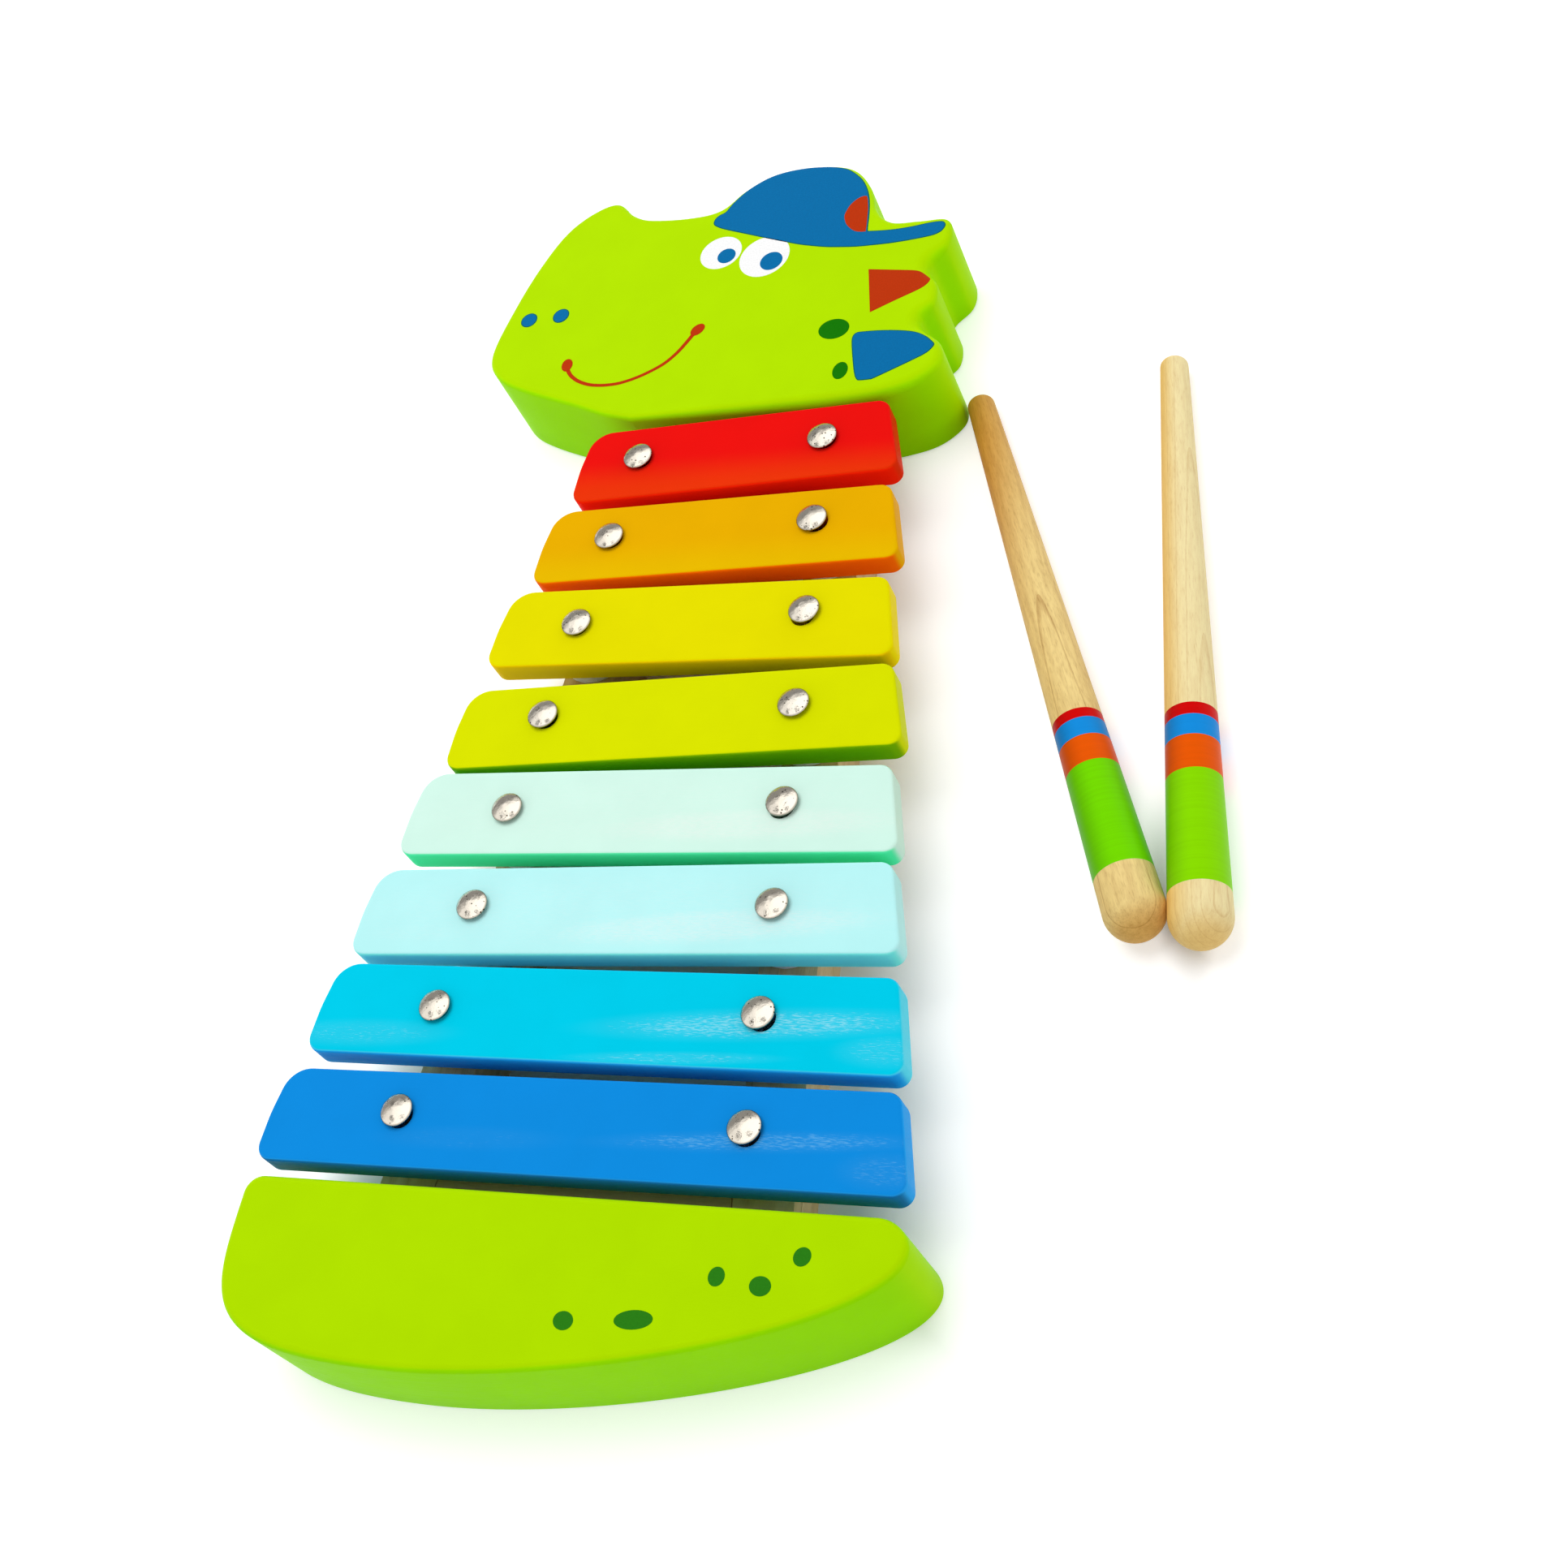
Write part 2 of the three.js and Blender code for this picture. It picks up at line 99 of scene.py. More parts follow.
# How far the left and the right nail of each row stand from their own places, to the right and
# to the head, as shares of the play round a nail's shank
NAIL_SHIFTS = [
    ((-0.02, -0.52), (-0.45, 0.78)),
    ((0.13, 0.33), (-0.75, 1.3)),
    ((-0.07, 0.29), (-0.11, 0.45)),
    ((-0.03, -0.25), (-0.1, 0.27)),
    ((-0.35, -0.16), (-0.13, 0)),
    ((-0.14, 0.07), (0.1, 0.15)),
    ((-0.16, 0.47), (-0.19, 0.11)),
    ((0.01, 0.98), (-0.37, 0.15)),
]


def row_y(row):
    """How far up the toy a row of nails lies. Row 0 is next to the head."""
    return FIRST_ROW_Y - row * ROW_PITCH


def pin_spread(row):
    """How far a row's nails stand from the centre line."""
    return FIRST_PIN_SPREAD + row * PIN_SPREAD_STEP


def nail_place(side, row):
    """Where a nail stands in plan. Side is -1 on the left and 1 on the right."""
    across, away = NAIL_SHIFTS[row][side > 0]
    return side * pin_spread(row) + across * NAIL_PLAY, row_y(row) + away * NAIL_PLAY


SIDES = (("left", -1), ("right", 1))
print("rows from", row_y(0), "to", row_y(ROW_COUNT - 1), "mm")

# %% [markdown]
# ## Meshes
#
# Almost every piece here is one of two shapes. A board is a flat outline with a thickness and
# rounded edges. A turned piece is a profile that goes round an axis. Both could be made with
# modifiers, but a few lines that list the corners and faces give even, clean quads and say exactly
# where each edge lies.


# %% Make an object from corners and faces
SHARP = math.radians(42)


def make_object(name, corners, faces):
    """An object from corners in millimetres. Its faces are shaded smooth, its hard edges sharp."""
    mesh = bpy.data.meshes.new(name)
    mesh.from_pydata([Vector(corner) * MM for corner in corners], [], faces)
    mesh.shade_smooth()
    mesh.set_sharp_from_angle(angle=SHARP)
    made = bpy.data.objects.new(name, mesh)
    bpy.context.scene.collection.objects.link(made)
    return made


# %% [markdown]
# A flat face with holes, or with extra corners inside it, is filled with triangles. Blender has a
# constrained Delaunay fill for this. It keeps every edge of the outline, and the triangles that
# land in a hole are then dropped.

# %% Fill a flat outline
# Blender's mode that fills only the inside, and the smallest distance that counts
ONLY_INSIDE = 1
TINY = 1e-6


def inside(points, outline):
    """Which of the points lie inside a closed outline."""
    x, y = points[:, :1], points[:, 1:]
    (x0, y0), (x1, y1) = outline.T, np.roll(outline, -1, axis=0).T
    with np.errstate(divide="ignore", invalid="ignore"):
        crossed = ((y0 > y) != (y1 > y)) & (x < (x1 - x0) * (y - y0) / (y1 - y0) + x0)
    return crossed.sum(axis=1) % 2 == 1


def nearest_on(points, outline):
    """The place on a closed outline that is nearest to each point."""
    along = np.roll(outline, -1, axis=0) - outline
    way = points[:, None] - outline
    share = np.clip((way * along).sum(2) / (along**2).sum(1), 0, 1)
    places = outline + share[..., None] * along
    best = np.linalg.norm(points[:, None] - places, axis=2).argmin(axis=1)
    return places[np.arange(len(points)), best]


def distance_to(points, outline):
    """How far each point lies from a closed outline."""
    return np.linalg.norm(points - nearest_on(points, outline), axis=1)


def fill(loops, extra=()):
    """Triangles that fill the first loop, apart from the loops inside it. Extra points inside it
    become corners too. It gives the corners, the triangles, and which corner each point of the
    loops became."""
    points = np.concatenate([*loops, *extra])
    edges, first = [], 0
    for loop in loops:
        count = len(loop)
        edges += [(first + i, first + (i + 1) % count) for i in range(count)]
        first += count
    made = geometry.delaunay_2d_cdt([Vector(p) for p in points], edges, [], ONLY_INSIDE, TINY)
    corners = np.array([tuple(corner) for corner in made[0]])
    became = {source: index for index, sources in enumerate(made[3]) for source in sources}
    middles = np.array([corners[list(face)].mean(axis=0) for face in made[2]])
    kept = np.ones(len(middles), bool)
    for hole in loops[1:]:
        kept &= ~inside(middles, hole)
    return corners, [list(face) for face, keep in zip(made[2], kept) if keep], became


# %% [markdown]
# An outline is a list of points in plan that runs anticlockwise. Three small helpers move one
# inwards, turn it, and draw a round one.

# %% Move, turn and draw outlines
# The smallest cosine by which a moved edge's distance is divided at a sharp corner
SHARPEST = 0.6


def inset(outline, distance):
    """A closed outline, listed anticlockwise, moved inwards at each corner."""
    before = outline - np.roll(outline, 1, axis=0)
    after = np.roll(outline, -1, axis=0) - outline
    normals = []
    for way in (before, after):
        way = way / np.linalg.norm(way, axis=1)[:, None]
        normals.append(np.stack([-way[:, 1], way[:, 0]], axis=1))
    middle = normals[0] + normals[1]
    middle /= np.linalg.norm(middle, axis=1)[:, None]
    reach = distance / np.clip((middle * normals[0]).sum(axis=1), SHARPEST, 1)
    return outline + middle * reach[:, None]


def turned_by(points, angle):
    """Points in plan, turned anticlockwise about the origin."""
    rows = [(math.cos(angle), math.sin(angle)), (-math.sin(angle), math.cos(angle))]
    return points @ np.array(rows)


def circle(across, along, radius, sides=40):
    """A round outline, anticlockwise."""
    angles = np.arange(sides) * math.tau / sides
    return np.stack([across + radius * np.cos(angles), along + radius * np.sin(angles)], axis=1)


# %% [markdown]
# The edge of a board is rounded by a row of lines, each of them the outline moved a little further
# inwards. A bevel modifier would do nearly the same. Here the rounding can also differ from place
# to place along one edge, as it does where a drum has sanded a notch.

# %% Make a board with rounded edges
EDGE_STEPS = 8
HOLD = 0.15


def rounding(radius):
    """How far in and how far up each line of a rounded edge lies, from the flat face outwards."""
    turns = np.linspace(0, math.pi / 2, EDGE_STEPS + 1)
    lines = [(radius * (1 - math.sin(a)), radius * (1 - math.cos(a))) for a in turns]
    return [(radius + HOLD, 0), *lines]


def board(name, outline, thickness, edge, upper_edge, holes=()):
    """A flat board. Its upper edge may be rounded by another radius at each corner. A narrow flat
    ring inside each rounded edge keeps the flat faces truly flat in the shading, because their
    corners then touch no curved face."""
    levels = rounding(edge)
    levels += [(inwards, thickness - up) for inwards, up in reversed(rounding(upper_edge))]
    count = len(outline)
    corners, faces = [], []
    for inwards, up in levels:
        heights = np.broadcast_to(up, count)
        corners += [(x, y, z) for (x, y), z in zip(inset(outline, inwards), heights)]
    for level in range(len(levels) - 1):
        first = level * count
        for i in range(count):
            j = (i + 1) % count
            faces.append((first + i, first + j, first + count + j, first + count + i))
    for hole in holes:
        first, sides = len(corners), len(hole)
        corners += [(x, y, 0) for x, y in hole] + [(x, y, thickness) for x, y in hole]
        for i in range(sides):
            j = (i + 1) % sides
            faces.append((first + j, first + i, first + sides + i, first + sides + j))
    top_ring = (len(levels) - 1) * count
    hole_start = len(levels) * count
    for up, radius in ((0, edge), (thickness, upper_edge)):
        flat, triangles, became = fill([inset(outline, radius + HOLD), *holes])
        place = {}
        for source, index in became.items():
            if source < count:
                place[index] = source + (top_ring if up else 0)
            else:
                hole, rest, first = 0, source - count, hole_start
                while rest >= len(holes[hole]):
                    rest -= len(holes[hole])
                    first += 2 * len(holes[hole])
                    hole += 1
                place[index] = first + rest + (len(holes[hole]) if up else 0)
        for index, (x, y) in enumerate(flat):
            if index not in place:
                place[index] = len(corners)
                corners.append((x, y, up))
        for triangle in triangles:
            order = triangle if up else triangle[::-1]
            faces.append([place[index] for index in order])
    return make_object(name, corners, faces)


# %% [markdown]
# A turned piece is drawn as on a lathe: a profile of radii and heights goes round an axis. A point
# on the axis gives one corner instead of a ring, so the ends close without a hole.


# %% Make a turned piece
def lathe(name, profile, sides, closed=False):
    """A profile of (radius, height), listed upwards along its outside, turned about Z. It gives
    the object and the profile step that each of its faces belongs to."""
    corners, faces, steps, rings = [], [], [], []
    for radius, up in profile:
        if radius == 0:
            rings.append([len(corners)] * sides)
            corners.append((0, 0, up))
            continue
        rings.append(list(range(len(corners), len(corners) + sides)))
        corners += [(x, y, up) for x, y in circle(0, 0, radius, sides)]
    if closed:
        rings.append(rings[0])
    for step, (low, high) in enumerate(zip(rings, rings[1:])):
        for i in range(sides):
            j = (i + 1) % sides
            quad = (low[i], low[j], high[j], high[i])
            faces.append(list(dict.fromkeys(quad)))
            steps.append(step)
    return make_object(name, corners, faces), steps


# %% [markdown]
# The frame under the bars is joinery: square stock with slots, tenons and bores. These are cut by
# boolean modifiers, as a saw and a drill cut them, and a fine bevel then breaks the edges.

# %% Cut and bevel a piece
BEVELLED = math.radians(40)
SHARP_AFTER_BEVEL = math.radians(30)


def slab(name, outline, bottom, top):
    """A square-edged solid with straight sides."""
    count = len(outline)
    corners = [(x, y, up) for up in (bottom, top) for x, y in outline]
    sides = [(i, (i + 1) % count, count + (i + 1) % count, count + i) for i in range(count)]
    lids = [tuple(reversed(range(count))), tuple(range(count, 2 * count))]
    return make_object(name, corners, sides + lids)


def settle(piece):
    """Turns a piece's modifiers into its own mesh."""
    shown = piece.evaluated_get(bpy.context.evaluated_depsgraph_get())
    mesh = bpy.data.meshes.new_from_object(shown)
    piece.modifiers.clear()
    piece.data = mesh
    mesh.name = piece.name
    return piece


def join_or_cut(piece, others, operation="DIFFERENCE"):
    """Cuts the other solids out of a piece, or joins them to it."""
    for other in others:
        boolean = piece.modifiers.new("boolean", "BOOLEAN")
        boolean.solver = "EXACT"
        boolean.operation = operation
        boolean.object = other
    settle(piece)
    for other in others:
        bpy.data.objects.remove(other)
    return piece


def break_edges(piece, width):
    """Takes the sharpness off a piece's edges, as sandpaper does."""
    bevel = piece.modifiers.new("edges", "BEVEL")
    bevel.width = width * MM
    bevel.segments = 2
    bevel.limit_method = "ANGLE"
    bevel.angle_limit = BEVELLED
    settle(piece)
    piece.data.shade_smooth()
    piece.data.set_sharp_from_angle(angle=SHARP_AFTER_BEVEL)
    return piece


def stand_for(piece, node, body, material):
    """Paints a piece, sets it on its body, and lets it stand for its CAD solid."""
    if not piece.data.materials:
        piece.data.materials.append(material)
    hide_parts(node)
    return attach(piece, body)


# %% [markdown]
# ## Smooth outlines
#
# A sawn or printed outline is a few smooth curves that meet at corners. A curve that runs evenly
# through its points is a Catmull-Rom spline, which is also what the CAD model uses for the head.


# %% Draw smooth curves through points
def smooth_run(points, steps):
    """A smooth open curve through the points, without its last point."""
    points = [Vector(point) for point in points]
    if len(points) == 2:
        steps = 1
    drawn = []
    for i in range(len(points) - 1):
        p0, p1 = points[max(i - 1, 0)], points[i]
        p2, p3 = points[i + 1], points[min(i + 2, len(points) - 1)]
        v0, v1 = (p2 - p0) / 2, (p3 - p1) / 2
        for step in range(steps):
            t = step / steps
            cubic = (2 * p1 - 2 * p2 + v0 + v1) * t**3
            drawn.append(cubic + (3 * p2 - 3 * p1 - 2 * v0 - v1) * t**2 + v0 * t + p1)
    return drawn


def closed_outline(runs, steps=5):
    """A closed outline, anticlockwise, from runs that each start where the last one ended."""
    drawn = np.array([tuple(p) for points in runs for p in smooth_run(points, steps)])
    after = np.roll(drawn, -1, axis=0)
    area = (drawn[:, 0] * after[:, 1] - after[:, 0] * drawn[:, 1]).sum()
    return drawn if area > 0 else drawn[::-1]


def oval(across, along, half_width, half_height, tilt=0):
    """An oval outline, turned by tilt degrees."""
    drawn = circle(0, 0, 1, 48) * (half_width, half_height)
    return turned_by(drawn, math.radians(tilt)) + (across, along)


# %% [markdown]
# ## Colours and nodes
#
# Colours are written as sRGB hex values, as in any paint program. A shader works with light, so
# one function turns them to linear numbers. Another small function adds a node of any kind, sets
# it and links it, which keeps each material short enough to read as a recipe.
#
# Two settings come back in every recipe. A Map Range node that works smoothly eases in and out. A
# Mix node that mixes colours has its share at input 0 and its two colours at inputs 6 and 7.


# %% Helpers for materials
SMOOTHLY = {"interpolation_type": "SMOOTHSTEP"}
AS_COLOURS = {"data_type": "RGBA"}


def linear(hex_colour):
    """Linear red, green, blue and alpha of an sRGB hex colour."""
    parts = [int(hex_colour[i:i + 2], 16) / 255 for i in (1, 3, 5)]
    return [c / 12.92 if c <= 0.04045 else ((c + 0.055) / 1.055) ** 2.4 for c in parts] + [1]


def add_node(tree, kind, inputs=(), **settings):
    """Adds a shader node. Its inputs come in their order or by name. Each is a number, a colour,
    an output, or a whole node, which stands for its first output in use."""
    made = tree.nodes.new(f"ShaderNode{kind}")
    for name, value in settings.items():
        setattr(made, name, value)
    for name, value in inputs.items() if isinstance(inputs, dict) else enumerate(inputs):
        if isinstance(value, bpy.types.Node):
            value = next(output for output in value.outputs if output.enabled)
        if isinstance(value, bpy.types.NodeSocket):
            tree.links.new(value, made.inputs[name])
        else:
            made.inputs[name].default_value = value
    return made


def streaks(tree, place, sizes, seed, detail, **more):
    """A cloudy pattern, stretched to so many millimetres along X, Y and Z."""
    stretched = add_node(tree, "Mapping", {
        "Vector": place, "Scale": [1 / (size * MM) for size in sizes],
    })
    return add_node(tree, "TexNoise", {
        "Vector": stretched, "W": seed, "Scale": 1, "Detail": detail, **more,
    }, noise_dimensions="4D")


def new_material(name):
    """An empty material and its node tree."""
    made = bpy.data.materials.new(name)
    made.use_nodes = True
    made.node_tree.nodes.clear()
    return made, made.node_tree


def finish_material(tree, inputs):
    """Adds the surface shader and the output."""
    shader = add_node(tree, "BsdfPrincipled", inputs)
    add_node(tree, "OutputMaterial", {"Surface": shader})


# %% [markdown]
# ## Lacquered wood
#
# The bars and blocks are sanded wood under two coats of opaque satin lacquer. The colour is even,
# but the wood's fibres still lift the film a little, so a low light shows fine streaks along the
# grain. Fibre bundles are about 0.4 mm across and run for a few centimetres. On the cool colours,
# short pale dashes along the fibres are painted highlights in the colour, where the light would
# glance along the bar.
#
# Lacquer has an IOR of 1.5, and a satin one a roughness of about 0.4. Its mirror part is set low:
# the white floor would otherwise wash out the deep colour of the upright faces.


# %% Soft patches
def soft_patches(tree, place, patches):
    """How much each place lies in a long soft patch. A patch is given by its middle, its half
    length and half width in millimetres, its tilt in degrees, and its strength. It fades from 0.4
    to 1.2 of its half sizes."""
    total = 0.0
    for across, away, half_length, half_width, tilt, strength in patches:
        local = add_node(tree, "Mapping", {
            "Vector": place, "Location": (across * MM, away * MM, 0),
            "Rotation": (0, 0, math.radians(tilt)),
            "Scale": (half_length * MM, half_width * MM, 1),
        }, vector_type="TEXTURE")
        patch = add_node(tree, "MapRange", {
            "Value": add_node(tree, "VectorMath", [local], operation="LENGTH"),
            "From Min": 1.2, "From Max": 0.4, "To Max": strength,
        }, **SMOOTHLY)
        total = add_node(tree, "Math", [patch, total], operation="MAXIMUM")
    return total


# %% [markdown]
# The recipe starts from the way a face looks: each side of a bar has its own colour, painted shade
# and painted light for the part of the room it faces. The painted highlights come next, and then
# the clouds in the colour and the fibres that lift the film.

# %% Lacquered wood
LACQUER_MIRROR = 0.018

# Where the pale dashes of painted highlight begin and where they are full, as levels of their
# pattern
CRISP = (0.65, 0.87)
BROAD = (0.4, 1.05)


def lacquered_wood(name, seed, top, front, side, low=None, highlight_colour=None, patches=(), dashes=CRISP):
    """Satin lacquer over close-grained wood, with the grain along X. The colours are those of the
    upper face; of the faces toward and away from the tail and of the other upright faces, which are
    painted shade and painted light; and, where they differ, of the upper face's tail side, a
    painted tint of light thrown back by the next bar, and of the painted highlights, which also
    tint the lacquer's mirror part."""
    made, tree = new_material(name)
    coordinates = add_node(tree, "TexCoord").outputs
    place = coordinates["Object"]
    where = add_node(tree, "SeparateXYZ", [place]).outputs
    facing = add_node(tree, "SeparateXYZ", [coordinates["Normal"]]).outputs

    # The upright faces' colours, painted shade and painted light by how much each faces the tail or
    # the head
    frontal = add_node(tree, "MapRange", {
        "Value": add_node(tree, "Math", [facing["Y"]], operation="ABSOLUTE"),
        "From Min": 0.35, "From Max": 0.85,
    }, **SMOOTHLY)
    upright = add_node(tree, "Mix", {0: frontal, 6: linear(side), 7: linear(front)}, **AS_COLOURS)

    # The upper face's colours, with a painted tint of light thrown back by the next bar on the tail
    # side. The rounded edge on the tail's side has less of them, a painted shade.
    upper = linear(top)
    if low:
        toward_tail = add_node(tree, "MapRange", {
            "Value": where["Y"], "From Min": 0, "From Max": -BAR_WIDTH / 2 * MM,
        }, **SMOOTHLY)
        upper = add_node(tree, "Mix", {0: toward_tail, 6: upper, 7: linear(low)}, **AS_COLOURS)
    tailward = add_node(tree, "Math", [facing["Y"], 0], operation="MINIMUM")
    level = add_node(tree, "Math", [tailward, 0.5, facing["Z"]], operation="MULTIPLY_ADD")
    is_top = add_node(tree, "MapRange", {
        "Value": level, "From Min": 0.3, "From Max": 0.9,
    }, **SMOOTHLY)
    paint = add_node(tree, "Mix", {0: is_top, 6: upright, 7: upper}, **AS_COLOURS)

    # Painted highlights: pale dashes, denser towards the middle of a patch, over a faint even
    # painted shine
    highlight_colour = highlight_colour or top
    if patches:
        patch = soft_patches(tree, place, patches)
        pattern = streaks(tree, place, (2, 0.28, 0.28), seed, 4, Roughness=0.6)
        pattern = add_node(tree, "Math", [patch, 0.35, pattern], operation="MULTIPLY_ADD")
        painted_highlight = add_node(tree, "MapRange", {
            "Value": pattern, "From Min": dashes[0], "From Max": dashes[1], "To Min": 0.12,
        }, **SMOOTHLY)
        painted_highlight = add_node(tree, "Math", [painted_highlight, patch], operation="MULTIPLY")
        paint = add_node(tree, "Mix", {0: painted_highlight, 6: paint, 7: linear(highlight_colour)}, **AS_COLOURS)

    # Clouds 14 mm across in the colour, and fibres 0.4 mm wide and 18 mm long in the film
    clouds = add_node(tree, "TexNoise", {
        "Vector": place, "W": seed, "Scale": 1 / (14 * MM), "Detail": 3,
    }, noise_dimensions="4D")
    value = add_node(tree, "MapRange", {
        "Value": clouds, "From Min": 0.3, "From Max": 0.7, "To Min": 0.985, "To Max": 1.015,
    }, **SMOOTHLY)
    fibres = streaks(tree, place, (18, 0.4, 0.4), seed, 3, Roughness=0.6)
    roughness = add_node(tree, "MapRange", {
        "Value": fibres, "From Min": 0.3, "From Max": 0.7, "To Min": 0.34, "To Max": 0.5,
    }, **SMOOTHLY)
    finish_material(tree, {
        "Base Color": add_node(tree, "HueSaturation", {"Color": paint, "Value": value}),
        "Normal": add_node(tree, "Bump", {
            "Height": fibres, "Strength": 0.5, "Distance": 0.05 * MM,
        }),
        "Roughness": roughness, "IOR": 1.5,
        "Specular IOR Level": LACQUER_MIRROR, "Specular Tint": linear(highlight_colour),
    })
    return made


# %% [markdown]
# ## Print
#
# The face, the cap and the spots are screen-printed: a thin, slightly matt film of ink with crisp
# edges. It could be painted by a mask in the lacquer's material, but a film of its own keeps its
# edge sharp at any distance.


# %% Screen-print ink
def print_ink(name, colour):
    """Matt ink with a fine mottle, half a millimetre coarse, as the screen's mesh leaves it."""
    made, tree = new_material(name)
    place = add_node(tree, "TexCoord").outputs["Object"]
    mottle = add_node(tree, "TexNoise", {
        "Vector": place, "Scale": 1 / (0.5 * MM), "Detail": 3,
    })
    value = add_node(tree, "MapRange", {
        "Value": mottle, "From Min": 0.3, "From Max": 0.7, "To Min": 0.93, "To Max": 1.05,
    })
    finish_material(tree, {
        "Base Color": add_node(tree, "HueSaturation", {"Color": linear(colour), "Value": value}),
        "Normal": add_node(tree, "Bump", {
            "Height": mottle, "Strength": 0.2, "Distance": 0.03 * MM,
        }),
        "Roughness": 0.55, "IOR": 1.48,
        "Specular IOR Level": 0.1, "Specular Tint": linear(colour),
    })
    return made


INKS = {
    "blue": print_ink("Blue screen-print ink", "#056fab"),
    "teal": print_ink("Blue ink over green lacquer", "#0c6a4c"),
    "red": print_ink("Red screen-print ink", "#c03608"),
    "white": print_ink("White screen-print ink", "#ffffff"),
    "dark green": print_ink("Dark green screen-print ink", "#127800"),
    "moss green": print_ink("Moss green screen-print ink", "#2d8218"),
}
print("inks:", ", ".join(INKS))

# %% [markdown]
# ## The head
#
# The head is one board, 30 mm thick, sawn to the outline of a dinosaur that looks up, with a cap,
# two spikes and a blunt nose. A router has rounded its edges, to 1.5 mm below and a little more
# above. The outline is given as shares of half the head's length and of its depth, and runs
# anticlockwise from the right end of the straight face.

# %% Outline of the head
HEAD_HALF_LENGTH = 92.1
HEAD_DEPTH = 97.7
HEAD_SHARES = [
    (0.282, 0.001), (0.435, 0.012), (0.565, 0.046),
    (0.641, 0.12), (0.629, 0.196), (0.564, 0.254),
    (0.546, 0.302), (0.586, 0.356), (0.583, 0.43), (0.545, 0.484),
    (0.548, 0.527), (0.595, 0.583), (0.602, 0.645), (0.576, 0.695),
    (0.484, 0.701), (0.386, 0.711), (0.322, 0.772),
    (0.282, 0.88), (0.203, 0.968), (0.062, 1), (-0.08, 0.989),
    (-0.18, 0.933), (-0.255, 0.862), (-0.362, 0.846), (-0.515, 0.86),
    (-0.593, 0.893), (-0.664, 0.953), (-0.748, 0.932),
    (-0.838, 0.855), (-0.906, 0.722), (-0.961, 0.55),
    (-1, 0.346), (-0.954, 0.246), (-0.839, 0.175),
    (-0.617, 0.088), (-0.499, 0.039), (-0.391, 0.008),
]
head_points = [(a * HEAD_HALF_LENGTH, b * HEAD_DEPTH) for a, b in HEAD_SHARES]
head_outline = closed_outline([head_points, [head_points[-1], head_points[0]]], steps=10)
print("corners in the head's outline:", len(head_outline))

# %% [markdown]
# ## The tail
#
# The tail is a board of the same thickness. One side is straight, and the other is a long belly
# that sweeps up to the right, drawn with three cubic curves. Their control points are shares of
# the tail's width and depth.


# %% Outline of the tail
def cubic(start, first, second, end, steps):
    """A cubic Bezier curve without its last point."""
    start, first, second, end = (np.array(p, float) for p in (start, first, second, end))
    t = np.linspace(0, 1, steps, endpoint=False)[:, None]
    drawn = start * (1 - t) ** 3 + 3 * first * t * (1 - t) ** 2
    return drawn + 3 * second * t**2 * (1 - t) + end * t**3


TAIL_LEFT = -87.9
TAIL_RIGHT = 92.5
TAIL_DEPTH = 46.3
TAIL_CORNER = 5
belly = TAIL_LEFT * 0.38
shoulder = -TAIL_DEPTH * 0.2
tip_depth = -TAIL_DEPTH * 0.17
tip_inset = TAIL_RIGHT * 0.095
tip_round = 1 - 0.52
left_corner = circle(TAIL_LEFT + TAIL_CORNER, -TAIL_CORNER, TAIL_CORNER, 32)[8:16]
tail_outline = np.concatenate([
    [(TAIL_RIGHT - tip_inset, 0)],
    left_corner,
    [(TAIL_LEFT, -TAIL_CORNER)],
    cubic((TAIL_LEFT, shoulder), (TAIL_LEFT, shoulder - TAIL_DEPTH * 0.54),
          (belly + TAIL_LEFT * 0.6, -TAIL_DEPTH), (belly, -TAIL_DEPTH), 60),
    cubic((belly, -TAIL_DEPTH), (belly + TAIL_RIGHT * 0.52, -TAIL_DEPTH),
          (TAIL_RIGHT, tip_depth - TAIL_DEPTH * 0.39), (TAIL_RIGHT, tip_depth), 100),
    cubic((TAIL_RIGHT, tip_depth), (TAIL_RIGHT, tip_depth * tip_round),
          (TAIL_RIGHT - tip_inset * tip_round, 0), (TAIL_RIGHT - tip_inset, 0), 24),
])
print("corners in the tail's outline:", len(tail_outline))

# %% [markdown]
# ## Lines in plan
#
# The rails converge and each block is set a hair out of square, so few faces of the frame are
# square to each other. A joiner would draw the lines in plan and take the corners where they
# cross, and so do these helpers.


# %% Lines of the rails and of the blocks' faces
def rail_line(side, outwards):
    """A line along a rail, moved outwards from its centre line, as a point and a direction."""
    last = ROW_COUNT - 1
    direction = Vector((side * (pin_spread(last) - pin_spread(0)), row_y(last) - row_y(0)))
    direction.normalize()
    outward = Vector((-direction.y, direction.x)) * side
    return Vector((side * pin_spread(0), row_y(0))) + outward * outwards, direction


def face_line(end, inwards):
    """A line along a block's straight face, moved towards the bars."""
    direction = Vector((math.cos(end["turn"]), math.sin(end["turn"])))
    inward = Vector((direction.y, -direction.x)) * end["side"]
    return Vector((0, end["y"])) + inward * inwards, direction


def crossing(first, second):
    """The point where two lines cross."""
    (p, d), (q, e) = first, second
    return p + d * ((q - p).cross(e) / d.cross(e))


ENDS = {
    "head": {"y": HEAD_FACE_Y, "turn": math.radians(HEAD_TURN), "side": 1},
    "tail": {"y": TAIL_FACE_Y, "turn": math.radians(TAIL_TURN), "side": -1},
}
print("rail's turn:", round(math.degrees(math.atan2(*rail_line(1, 0)[1])), 2), "degrees")

# %% [markdown]
# ## Make both blocks
#
# Two hidden dowels join each block to the cross piece beside it, so it has two drilled holes in
# its straight face, square to that face.

# %% Drills for the dowels
DOWEL_RADIUS = 3
DOWEL_IN_CROSS = 8
DOWEL_IN_BLOCK = 16
DOWEL_SPREAD_SHARE = 0.6


